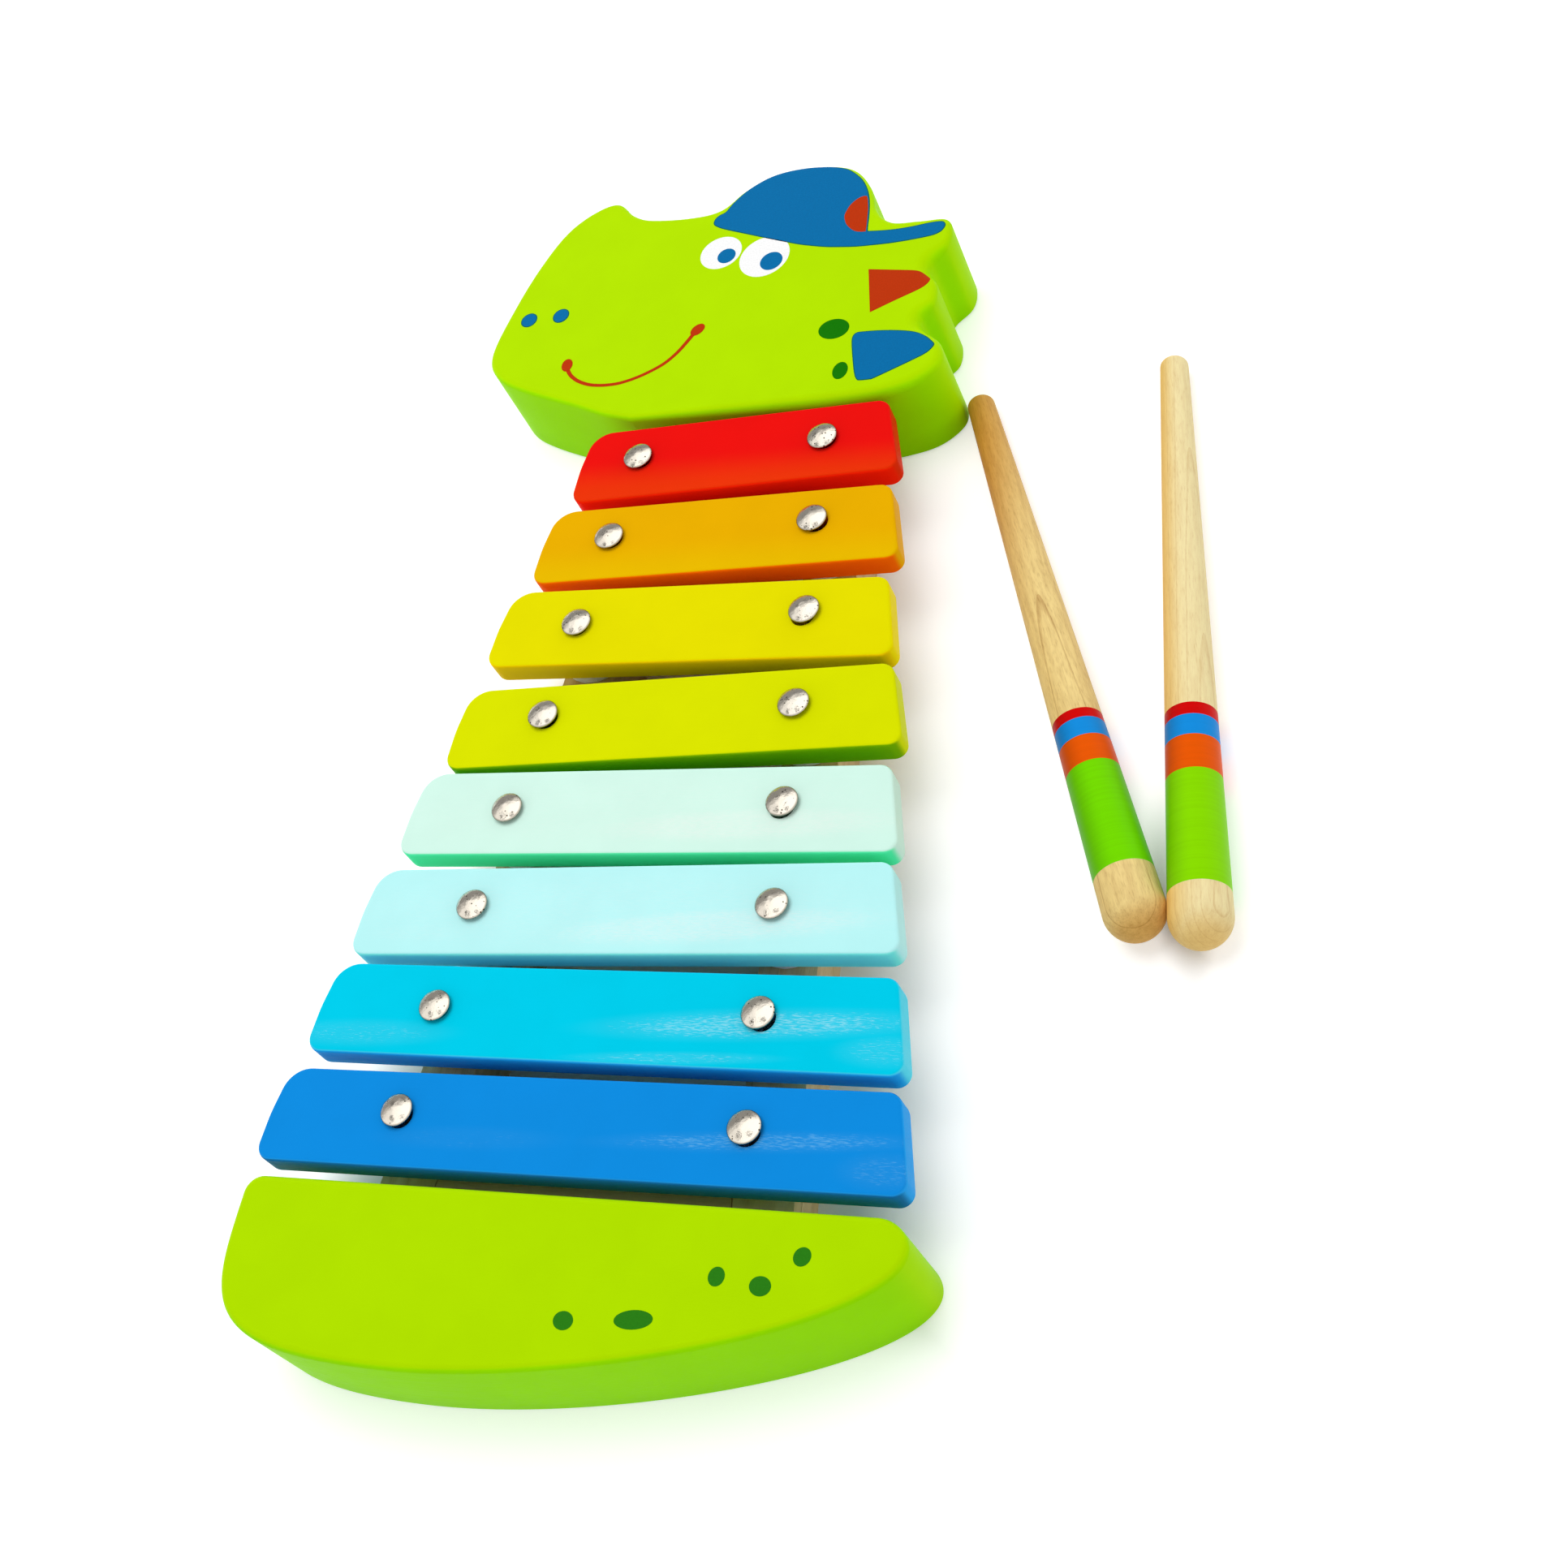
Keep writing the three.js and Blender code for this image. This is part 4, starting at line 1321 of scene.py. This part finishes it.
for name, side in SIDES:
    for row in range(ROW_COUNT):
        washer, _ = lathe(f"{name}_washer_{row + 1}", washer_profile(), 72, closed=True)
        seed = Vector((side * 37.0, row * 11.0, 5.0))
        for vertex in washer.data.vertices:
            at = vertex.co / MM
            push = noise.noise(at * LUMPS + seed) + TUFT_SHARE * noise.noise(at * TUFTS + seed)
            outward = Vector((at.x, at.y, 0)).normalized()
            rim_share = max(0.0, (at.xy.length - WASHER_BORE - STILL_RING) / WASHER_RADIUS)
            vertex.co += outward * (push * FELT_RELIEF * rim_share * MM)
        washer.location = Vector((*nail_place(side, row), RAIL_HEIGHT)) * MM
        stand_for(washer, f"washer_{name}_{row + 1}", "frame", felt)
print("washer faces:", len(washer.data.polygons))

# %% [markdown]
# ## Dome-headed nails
#
# The nails are steel, pressed to a domed head and nickel plated. Nickel is a warm grey metal. The
# plating is bright, but the dome under it is pressed metal with small dents and pits, so its
# reflections break up. The head's silhouette shows, so the dome is a fine turned surface whose
# height is varied a little by noise.


# %% Nickel plate
NAIL_SIDE = 0.55
NAIL_DOME = 1.4


def nickel_plate(name):
    """Bright plating over pressed steel: shallow dents 1.5 mm across, a few dark pits about a
    millimetre apart, and a rim darkened as painted shade. Each nail has its own."""
    made, tree = new_material(name)
    place = add_node(tree, "TexCoord").outputs["Object"]
    which = add_node(tree, "ObjectInfo").outputs["Random"]
    seed = add_node(tree, "Math", [which, 40.0], operation="MULTIPLY")
    dents = add_node(tree, "TexNoise", {
        "Vector": place, "W": seed, "Scale": 1 / (1.5 * MM), "Detail": 3, "Roughness": 0.6,
    }, noise_dimensions="4D")
    pits = add_node(tree, "TexVoronoi", {
        "Vector": place, "W": seed, "Scale": 1 / (1.0 * MM),
    }, voronoi_dimensions="4D")
    pitted = add_node(tree, "MapRange", {
        "Value": pits, "From Min": 0.15, "From Max": 0.3, "To Min": 1.0, "To Max": 0.0,
    }, **SMOOTHLY)
    # Painted shade: the head's side and the foot of its dome are darkened
    rim = add_node(tree, "MapRange", {
        "Value": add_node(tree, "SeparateXYZ", [place]).outputs["Z"],
        "From Min": (NAIL_SIDE + 0.05) * MM, "From Max": (NAIL_SIDE + 0.32) * MM,
        "To Min": 1.0, "To Max": 0.0,
    }, **SMOOTHLY)
    # The real dark pits, and the painted shade of the rim
    pits_and_rim_shade = add_node(tree, "Math", [rim, 0.6, pitted], operation="MULTIPLY_ADD", use_clamp=True)
    finish_material(tree, {
        "Base Color": add_node(tree, "Mix", {
            0: pits_and_rim_shade, 6: linear("#d8d0c2"), 7: linear("#40362a"),
        }, **AS_COLOURS),
        "Normal": add_node(tree, "Bump", {
            "Height": dents, "Strength": 0.8, "Distance": 0.18 * MM,
        }),
        "Metallic": 1, "Roughness": 0.17,
    })
    return made


nickel = nickel_plate("Nickel plate on steel")
print("plating:", nickel.name)

# %% [markdown]
# The whole nail is one turned piece: the shank with its point, the hollow underside of the head,
# the short side and the dome. The dents are shallow, and another set on each nail.

# %% Nails
NAIL_POINT = 3
DOME_STEPS = 16
DOME_START = 0.96
DENT_HEIGHT = 0.05
DENTS = 0.8

# The dome is a shallow cap of a ball on a short upright side. Its curve starts a little inside the
# side, which leaves a soft edge between the two.
ball = (NAIL_HEAD**2 + NAIL_DOME**2) / (2 * NAIL_DOME)
turns = np.linspace(math.asin(NAIL_HEAD / ball) * DOME_START, 0, DOME_STEPS)
hollow = [(NAIL_SHANK, 1.3), (2.6, 1.15), (3.6, 0.75), (NAIL_HEAD - 0.45, 0.15)]
nail_profile = [
    (0, -NAIL_LENGTH), (NAIL_SHANK, -NAIL_LENGTH + NAIL_POINT), *hollow,
    (NAIL_HEAD - 0.3, 0.02), (NAIL_HEAD - 0.1, 0.05), (NAIL_HEAD, 0.2),
    (NAIL_HEAD, NAIL_SIDE - 0.1),
    *[(ball * math.sin(turn), NAIL_SIDE + NAIL_DOME - ball * (1 - math.cos(turn)))
      for turn in turns[:-1]],
    (0, NAIL_SIDE + NAIL_DOME),
]
for name, side in SIDES:
    for row in range(ROW_COUNT):
        nail, _ = lathe(f"{name}_nail_{row + 1}", nail_profile, 56)
        seed = Vector((side * 19.0, row * 7.0, 2.0))
        for vertex in nail.data.vertices:
            at = vertex.co / MM
            if at.z > NAIL_SIDE:
                dent = noise.noise(at * DENTS + seed) * DENT_HEIGHT
                vertex.co += at.normalized() * (dent * MM)
        nail.location = Vector((*nail_place(side, row), NAIL_HEAD_BOTTOM)) * MM
        stand_for(nail, f"nail_{name}_{row + 1}", "frame", nickel)
print("nail faces:", len(nail.data.polygons))

# %% [markdown]
# ## Mallets
#
# Each mallet is one stick of pale hardwood, turned to a slow taper with a ball end, waxed, and
# painted with four bands while it spins. Where a growth ring only just meets the turned surface it
# draws a long arch, so the grain is modelled as it is in the tree: rings round an axis that lies
# outside the stick and leans a little.


# %% Turned hardwood
STICK_PLACE = "place_on_stick"
MALLET_LENGTH = 192.4
THICK = 8.15
THIN = 4.05
THIN_EDGE = 2.2
BALL_Y = MALLET_LENGTH - THICK
SLOPE = (THICK - THIN) / (BALL_Y - THIN_EDGE)

# Where a ring's dark late wood begins and ends before the next ring, how far the deeper tone
# reaches from the thin end, and how much of it the ball's end grain takes
LATE_WOOD = (0.07, 0.37)
DEEP_TONE_REACH = 95
END_SHARE = 0.65


def across_stick(tree, parts):
    """How far each place lies from a stick's middle line, as a share of its radius there."""
    radius = add_node(tree, "Math", [parts["Z"], SLOPE, THIN * MM], operation="MULTIPLY_ADD")
    return add_node(tree, "Math", [parts["X"], radius], operation="DIVIDE")


def turned_wood(name, seed, light, dark, deep_tone, ring_axis, lean, ring_width, shares):
    """Bare turned wood. The rings' axis passes through ring_axis, in millimetres across the
    stick, and leans by so much sideways for each millimetre along it. One side has a deeper
    tone, a painted shade, and the same tone spreads over the thin end and the ball's end grain.
    The shares are how dark the rings, the wide streaks, the pores and the deeper tone are, how
    much the painted shade keeps to one side, and how far the deeper tone spreads at the thin end."""
    made, tree = new_material(name)
    place = add_node(tree, "Attribute", attribute_name=STICK_PLACE).outputs["Vector"]
    parts = add_node(tree, "SeparateXYZ", [place]).outputs

    # How far each place lies from the rings' axis, a little wavy, and where in its ring that is
    squares = []
    for part, middle, tilt in zip("XY", ring_axis, lean):
        leant = add_node(tree, "Math", [parts["Z"], -tilt, parts[part]], operation="MULTIPLY_ADD")
        off = add_node(tree, "Math", [leant, middle * MM], operation="SUBTRACT")
        squares.append(add_node(tree, "Math", [off, 2.0], operation="POWER"))
    squared = add_node(tree, "Math", squares, operation="ADD")
    away = add_node(tree, "Math", [squared], operation="SQRT")
    waves = streaks(tree, place, (9, 9, 60), seed, 2)
    away = add_node(tree, "Math", [waves, 1.6 * MM, away], operation="MULTIPLY_ADD")
    rings = add_node(tree, "Math", [away, ring_width * MM], operation="DIVIDE")
    late = add_node(tree, "MapRange", {
        "Value": add_node(tree, "Math", [rings], operation="FRACT"),
        "From Min": 1 - LATE_WOOD[1] / ring_width, "From Max": 1 - LATE_WOOD[0] / ring_width,
        "To Max": shares["rings"],
    }, **SMOOTHLY)

    # Wide streaks and fine pores on top of the rings
    blotch = add_node(tree, "MapRange", {
        "Value": streaks(tree, place, (1.2, 1.2, 10), seed, 3),
        "From Min": 0.35, "From Max": 0.68, "To Max": shares["streaks"],
    }, **SMOOTHLY)
    pore = add_node(tree, "MapRange", {
        "Value": streaks(tree, place, (0.3, 0.3, 2.4), seed, 3),
        "From Min": 0.46, "From Max": 0.75, "To Max": shares["pores"],
    }, **SMOOTHLY)
    darker = add_node(tree, "Math", [late, blotch], operation="ADD")
    darker = add_node(tree, "Math", [darker, pore], operation="ADD", use_clamp=True)

    # The deeper tone: a painted shade on one side, and the same tone at the thin end and in the
    # ball's end grain
    spread = add_node(tree, "MapRange", {
        "Value": parts["Z"], "From Min": DEEP_TONE_REACH * MM, "From Max": 0,
        "To Max": shares["spread"],
    }, **SMOOTHLY)
    sided = add_node(tree, "Math", [across_stick(tree, parts), shares["sided"], spread],
                     operation="MULTIPLY_ADD")
    side_shade_and_tone = add_node(tree, "MapRange", {
        "Value": sided, "From Min": -0.2, "From Max": 1.1, "To Max": shares["deep_tone"],
    }, **SMOOTHLY)
    end_grain = add_node(tree, "MapRange", {
        "Value": parts["Z"], "From Min": BALL_Y * MM, "From Max": MALLET_LENGTH * MM,
        "To Max": END_SHARE,
    }, **SMOOTHLY)
    warmth = add_node(tree, "Math", [side_shade_and_tone, end_grain], operation="MAXIMUM")
    paler = add_node(tree, "Mix", {0: warmth, 6: linear(light), 7: linear(deep_tone)}, **AS_COLOURS)
    finish_material(tree, {
        "Base Color": add_node(tree, "Mix", {0: darker, 6: paler, 7: linear(dark)}, **AS_COLOURS),
        "Normal": add_node(tree, "Bump", {
            "Height": pore, "Strength": 0.25, "Distance": 0.05 * MM,
        }, invert=True),
        "Roughness": 0.5, "IOR": 1.5,
        "Specular IOR Level": 0.06, "Specular Tint": linear(light),
    })
    return made


# %% [markdown]
# The bands are enamel, brushed on while the stick spins. That leaves faint rings round the stick,
# less than a millimetre apart. The coat is thin, so the grain shows through as a fine relief. On
# one side its colour is deeper, a painted shade.


# %% Band enamel
def band_enamel(name, colour, seed):
    """Enamel with brushed rings, grain that shows through, and a painted shade on one side."""
    made, tree = new_material(name)
    place = add_node(tree, "Attribute", attribute_name=STICK_PLACE).outputs["Vector"]
    parts = add_node(tree, "SeparateXYZ", [place]).outputs
    strokes = streaks(tree, place, (30, 30, 0.8), seed, 2)
    fibres = streaks(tree, place, (0.5, 0.5, 15), seed, 3)
    value = add_node(tree, "MapRange", {
        "Value": strokes, "From Min": 0.3, "From Max": 0.7, "To Min": 0.975, "To Max": 1.025,
    }, **SMOOTHLY)
    # Painted shade: the colour is deeper on one side of the stick
    painted_side_shade = add_node(tree, "MapRange", {
        "Value": across_stick(tree, parts), "From Min": 0.0, "From Max": 1.05,
        "To Min": 1.0, "To Max": 0.62,
    }, **SMOOTHLY)
    value = add_node(tree, "Math", [value, painted_side_shade], operation="MULTIPLY")
    finish_material(tree, {
        "Base Color": add_node(tree, "HueSaturation", {"Color": linear(colour), "Value": value}),
        "Normal": add_node(tree, "Bump", {
            "Height": fibres, "Strength": 0.3, "Distance": 0.05 * MM,
        }),
        "Roughness": 0.42, "IOR": 1.5,
        "Specular IOR Level": 0.1, "Specular Tint": linear(colour),
    })
    return made


# %% [markdown]
# The left stick is a warm wood with wide rings, cut so that they draw long arches on it. The right
# one is paler, with narrow rings. Both have the same orange, blue and red bands, and each has a
# green of its own on the broad band next to the ball.

# %% Woods and enamels of the mallets
other_enamels = [
    band_enamel("Orange band enamel", "#f25c04", 22.0),
    band_enamel("Blue band enamel", "#1692e6", 23.0),
    band_enamel("Red band enamel", "#da0808", 24.0),
]
left_enamels = [band_enamel("Green band enamel", "#78e200", 21.0), *other_enamels]
right_enamels = [band_enamel("Yellow-green band enamel", "#8ee400", 25.0), *other_enamels]
warm_wood = turned_wood(
    "Warm turned hardwood", 31.0, light="#ffe49a", dark="#a0621e", deep_tone="#d08c1c",
    ring_axis=(0, -25.7), lean=(0, 0.02), ring_width=9.5, shares={
        "rings": 0.34, "streaks": 0.2, "pores": 0.26, "deep_tone": 0.9, "sided": 0.25, "spread": 0.9,
    },
)
pale_wood = turned_wood(
    "Pale turned hardwood", 32.0, light="#ffeeb4", dark="#cc944a", deep_tone="#eebc58",
    ring_axis=(-18, -14), lean=(0.01, 0.006), ring_width=2.3, shares={
        "rings": 0.2, "streaks": 0.16, "pores": 0.2, "deep_tone": 0.9, "sided": 1, "spread": 0.1,
    },
)
print("woods:", warm_wood.name, "and", pale_wood.name)

# %% [markdown]
# A stick is one turned piece. Its bands are not separate rings but faces with another paint, as on
# the real one, and its profile has a point at each band's edge.

# %% Shape of a mallet
# The paint of each stretch between the bands' edges, from the thin end: wood, four enamels, wood
PAINT_ORDER = (0, 4, 3, 2, 1, 0)

# How many lines run round the thin edge, along the taper and over the ball, and how many along it
THIN_STEPS, TAPER_STEPS, BALL_STEPS, STICK_SIDES = 9, 60, 24, 96


def radius_at(along):
    """A mallet's radius at a distance from its thin tip."""
    if along < THIN_EDGE:
        rise = 1 - along / THIN_EDGE
        return THIN - THIN_EDGE + THIN_EDGE * math.sqrt(max(0, 1 - rise**2))
    if along < BALL_Y:
        return THIN + (along - THIN_EDGE) * SLOPE
    return THICK * math.sqrt(max(0, 1 - ((along - BALL_Y) / THICK) ** 2))


def mallet(name, band_places, wood, enamels, turn):
    """A mallet that lies on the floor. band_places are distances from the ball's tip. Each corner
    keeps its place on the upright stick, thin end down, so that the grain runs along it."""
    edges = sorted(MALLET_LENGTH - place for place in band_places)
    rounds = np.linspace(0, math.pi / 2, THIN_STEPS)
    places = {0.0, *(THIN_EDGE * (1 - math.cos(a)) for a in rounds)}
    places |= set(np.linspace(THIN_EDGE, BALL_Y, TAPER_STEPS)) | set(edges)
    places |= {BALL_Y + THICK * math.sin(a) for a in np.linspace(0, math.pi / 2, BALL_STEPS)}
    places = sorted(places)
    profile = [(0, 0), *[(radius_at(z), z) for z in places[:-1]], (0, MALLET_LENGTH)]
    made, steps = lathe(name, profile, STICK_SIDES)
    upright = [value for vertex in made.data.vertices for value in vertex.co]
    kept = made.data.attributes.new(STICK_PLACE, "FLOAT_VECTOR", "POINT")
    kept.data.foreach_set("vector", upright)
    made.data.transform(
        Matrix.Rotation(turn + math.pi, 4, "Z")
        @ Matrix.Rotation(math.atan(SLOPE) - math.pi / 2, 4, "X")
        @ Matrix.Translation((0, 0, -BALL_Y * MM))
    )
    for material in (wood, *enamels):
        made.data.materials.append(material)
    for face, step in zip(made.data.polygons, steps):
        middle = (profile[step][1] + profile[step + 1][1]) / 2
        face.material_index = PAINT_ORDER[sum(middle > edge for edge in edges)]
    return made


# %% [markdown]
# The left mallet's thin end nearly touches the head's lower spike, and the two balls nearly touch
# each other, so the places follow from those of the spike and of the first ball.

# %% Lay both mallets down
LOWER_SPIKE = (0.641 * HEAD_HALF_LENGTH, 0.144 * HEAD_DEPTH)
SPIKE_GAP = 1.1
BALL_GAP = 0.4
MALLET_TURNS = (math.radians(20.9), math.radians(7.9))
PAIR_TURN = math.radians(-6.8)

# The edges of the bands, as distances from the ball's tip
LEFT_BANDS = (68.2, 65.1, 59.3, 50.8, 18.2)
RIGHT_BANDS = (67.8, 64.1, 57.8, 47.5, 14.3)

left_turn, right_turn = MALLET_TURNS
thin_x = LOWER_SPIKE[0] + SPIKE_GAP + THIN / math.cos(left_turn)
thin_y = HEAD_FACE_Y + LOWER_SPIKE[1]
down_left_stick = Vector((math.sin(left_turn), -math.cos(left_turn)))
left_ball = Vector((thin_x, thin_y)) + (BALL_Y - THIN) * down_left_stick
ball_to_ball = Vector((math.cos(PAIR_TURN), math.sin(PAIR_TURN)))
right_ball = left_ball + (2 * THICK + BALL_GAP) * ball_to_ball
for side, ball, turn, bands, wood, enamels in (
    ("left", left_ball, left_turn, LEFT_BANDS, warm_wood, left_enamels),
    ("right", right_ball, right_turn, RIGHT_BANDS, pale_wood, right_enamels),
):
    stick = mallet(f"turned_stick_{side}", bands, wood, enamels, turn)
    stick.location = Vector((ball.x, ball.y, THICK)) * MM
    stand_for(stick, f"mallet_{side}", f"mallet_{side}", wood)
    print(stick.name, "faces:", len(stick.data.polygons))

# %% [markdown]
# ## Floor, light and camera
#
# The toy lies on plain white paper under a large soft light, high up and a little behind it on the
# left, with pale surroundings. The paper is a diffuse floor, lifted to white for the camera, and
# keeps its soft shadows.

# %% Floor
UNDER_FROM, UNDER_TO = TAIL_FACE_Y - 2, HEAD_FACE_Y + 20
UNDER_EDGE = 25
SHADE_INWARDS, SHADE_OUTWARDS = 24, 6
OPEN_GLOW, UNDER_GLOW = 0.48, 0.004
FLOOR_HALF = 4000

# Painted shade: the corner between the two balls, which little light reaches, gets less lift, as
# a long soft patch
between_balls = (left_ball + right_ball) / 2 + Vector((0, 10))
CORNER_SHADE = (*between_balls, 30, 7, 90 + math.degrees(left_turn + right_turn) / 2, 0.8)

paper, tree = new_material("White paper")
place = add_node(tree, "TexCoord").outputs["Object"]
parts = add_node(tree, "SeparateXYZ", [place]).outputs

# How far a place lies outside the bars' ends, which stand on two slanting lines
end_slope = BAR_LENGTH_STEP / 2 / ROW_PITCH
half_span = FIRST_BAR_LENGTH / 2 + end_slope * FIRST_ROW_Y
ends = add_node(tree, "Math", [parts["Y"], -end_slope, half_span * MM], operation="MULTIPLY_ADD")
aside = add_node(tree, "Math", [parts["X"]], operation="ABSOLUTE")
outside = add_node(tree, "Math", [aside, ends], operation="SUBTRACT")

# Where the floor is open to the light and gets the full lift: beside the bars, before them and
# behind them. Near and under the toy the lift fades out, a painted shade.
beyond = add_node(tree, "MapRange", {
    "Value": outside, "From Min": -SHADE_INWARDS * MM, "From Max": SHADE_OUTWARDS * MM,
}, **SMOOTHLY)
before = add_node(tree, "MapRange", {
    "Value": parts["Y"], "From Min": UNDER_FROM * MM, "From Max": (UNDER_FROM - UNDER_EDGE) * MM,
}, **SMOOTHLY)
behind = add_node(tree, "MapRange", {
    "Value": parts["Y"], "From Min": UNDER_TO * MM, "From Max": (UNDER_TO + UNDER_EDGE) * MM,
}, **SMOOTHLY)
opened = add_node(tree, "Math", [beyond, before], operation="MAXIMUM")
opened = add_node(tree, "Math", [opened, behind], operation="MAXIMUM")
corner = soft_patches(tree, place, [CORNER_SHADE])
clear = add_node(tree, "Math", [1, corner], operation="SUBTRACT")
opened = add_node(tree, "Math", [opened, clear], operation="MULTIPLY")

# The lift is for the camera and for what mirrors or shows the floor. It lights nothing.
rays = add_node(tree, "LightPath").outputs
seen = add_node(tree, "Math", [rays["Is Camera Ray"], rays["Is Glossy Ray"]], operation="MAXIMUM")
seen = add_node(tree, "Math", [seen, rays["Is Transmission Ray"]], operation="MAXIMUM")
level = add_node(tree, "Math", [opened, OPEN_GLOW - UNDER_GLOW, UNDER_GLOW],
                 operation="MULTIPLY_ADD")
glow = add_node(tree, "Math", [seen, level], operation="MULTIPLY")
matt = add_node(tree, "BsdfDiffuse", {"Color": (0.85, 0.85, 0.85, 1)})
lift = add_node(tree, "Emission", {"Strength": glow})
both = add_node(tree, "AddShader", [matt, lift])
add_node(tree, "OutputMaterial", {"Surface": both})

floor = make_object("floor", [
    (-FLOOR_HALF, -FLOOR_HALF, 0), (FLOOR_HALF, -FLOOR_HALF, 0),
    (FLOOR_HALF, FLOOR_HALF, 0), (-FLOOR_HALF, FLOOR_HALF, 0),
], [(0, 1, 2, 3)])
floor.data.materials.append(paper)
print("floor from", -FLOOR_HALF, "to", FLOOR_HALF, "mm")

# %% [markdown]
# Pale surroundings light the toy from all round, most from the horizon. The nickel mirrors what
# stands round it, and an even surrounding would make it look like plaster. So the world shows
# mirror rays a room: pale, brighter on one side, with a dark side and a few dark things in it.

# %% Light
ZENITH_LIGHT, HORIZON_LIGHT = 0.3, 1.2
BRIGHT_LIGHT = 1.75
DARK_SIDE = (-0.566, 0.806, -0.17)
DARK_LIGHT = 0.36

# The dark things: the direction, the half angle in degrees and the darkness of each
DARK_THINGS = [
    ((0.15, -0.21, 0.966), 7, 0.85), ((-0.524, -0.27, 0.806), 8, 0.85),
    ((-0.626, 0.518, 0.58), 5, 0.8), ((-0.26, 0.837, 0.48), 5, 0.4),
]

world = bpy.data.worlds.new("Pale studio")
bpy.context.scene.world = world
world.use_nodes = True
tree = world.node_tree
tree.nodes.clear()
way = add_node(tree, "TexCoord").outputs["Generated"]
parts = add_node(tree, "SeparateXYZ", [way]).outputs
height = add_node(tree, "Math", [parts["Z"], 0], operation="MAXIMUM")
low = add_node(tree, "Math", [1, height], operation="SUBTRACT")
low = add_node(tree, "Math", [low, 2], operation="POWER")
soft_light = add_node(tree, "Math", [low, HORIZON_LIGHT, ZENITH_LIGHT], operation="MULTIPLY_ADD")


def toward(direction):
    """The cosine of the angle to a direction."""
    return add_node(tree, "VectorMath", [way, Vector(direction).normalized()],
                    operation="DOT_PRODUCT")


walls = add_node(tree, "MapRange", {
    "Value": parts["X"], "From Min": -0.85, "From Max": 0.1,
    "To Min": BRIGHT_LIGHT * 0.7, "To Max": BRIGHT_LIGHT,
}, **SMOOTHLY)
ragged = add_node(tree, "TexNoise", {"Vector": way, "Scale": 6, "Detail": 3})
side = add_node(tree, "Math", [ragged, 0.4, toward(DARK_SIDE)], operation="MULTIPLY_ADD")
shaded = add_node(tree, "MapRange", {
    "Value": side, "From Min": 0.5, "From Max": 0.95,
}, **SMOOTHLY)
darker = add_node(tree, "Math", [DARK_LIGHT, walls], operation="SUBTRACT")
room = add_node(tree, "Math", [shaded, darker, walls], operation="MULTIPLY_ADD")
for direction, half_angle, darkness in DARK_THINGS:
    kept = add_node(tree, "MapRange", {
        "Value": toward(direction), "From Min": math.cos(math.radians(half_angle * 1.5)),
        "From Max": math.cos(math.radians(half_angle / 2)), "To Min": 1.0, "To Max": 1 - darkness,
    }, **SMOOTHLY)
    room = add_node(tree, "Math", [room, kept], operation="MULTIPLY")
mirrored = add_node(tree, "LightPath").outputs["Is Glossy Ray"]
strength = add_node(tree, "Mix", {0: mirrored, 2: soft_light, 3: room})
around = add_node(tree, "Background", {"Color": (1, 1, 1, 1), "Strength": strength})
add_node(tree, "OutputWorld", {"Surface": around})

print("dark things in the room:", len(DARK_THINGS))

# %% [markdown]
# The main light is a large square lamp, high up, behind and a little to the left. Its size makes
# the shadows soft. The nickel doesn't mirror it, because the world's bright walls stand for it.


# %% Soft box
def soft_box(name, place, target, width, watts):
    """A square area lamp that points from one place to another. It leaves no glint of its own."""
    lamp = bpy.data.lights.new(name, "AREA")
    lamp.size = width
    lamp.energy = watts
    made = bpy.data.objects.new(name, lamp)
    made.location = place
    made.rotation_euler = (Vector(target) - Vector(place)).to_track_quat("-Z", "Y").to_euler()
    made.visible_glossy = False
    bpy.context.scene.collection.objects.link(made)
    return made


lamp = soft_box("main soft box", place=(-0.25, 0.45, 1.2), target=(0.02, 0.15, 0),
                width=1.0, watts=9)
print(lamp.name, "of", lamp.data.energy, "W,", lamp.data.size, "m wide")

# %% [markdown]
# The camera looks down from the front right. Its place and lens come from the perspective of the
# nail rows: eight rows on two straight lines are enough to solve both.

# %% Camera
scene = bpy.context.scene
camera = bpy.data.objects.new("camera", bpy.data.cameras.new("camera"))
scene.collection.objects.link(camera)
camera.data.sensor_width = 36
camera.data.lens = 52.81
camera.location = Vector(CAMERA_PLACE) * MM
camera.rotation_euler = [math.radians(angle) for angle in CAMERA_TILTS]
scene.camera = camera
scene.view_settings.view_transform = "Standard"
print("lens:", round(camera.data.lens, 2), "mm")
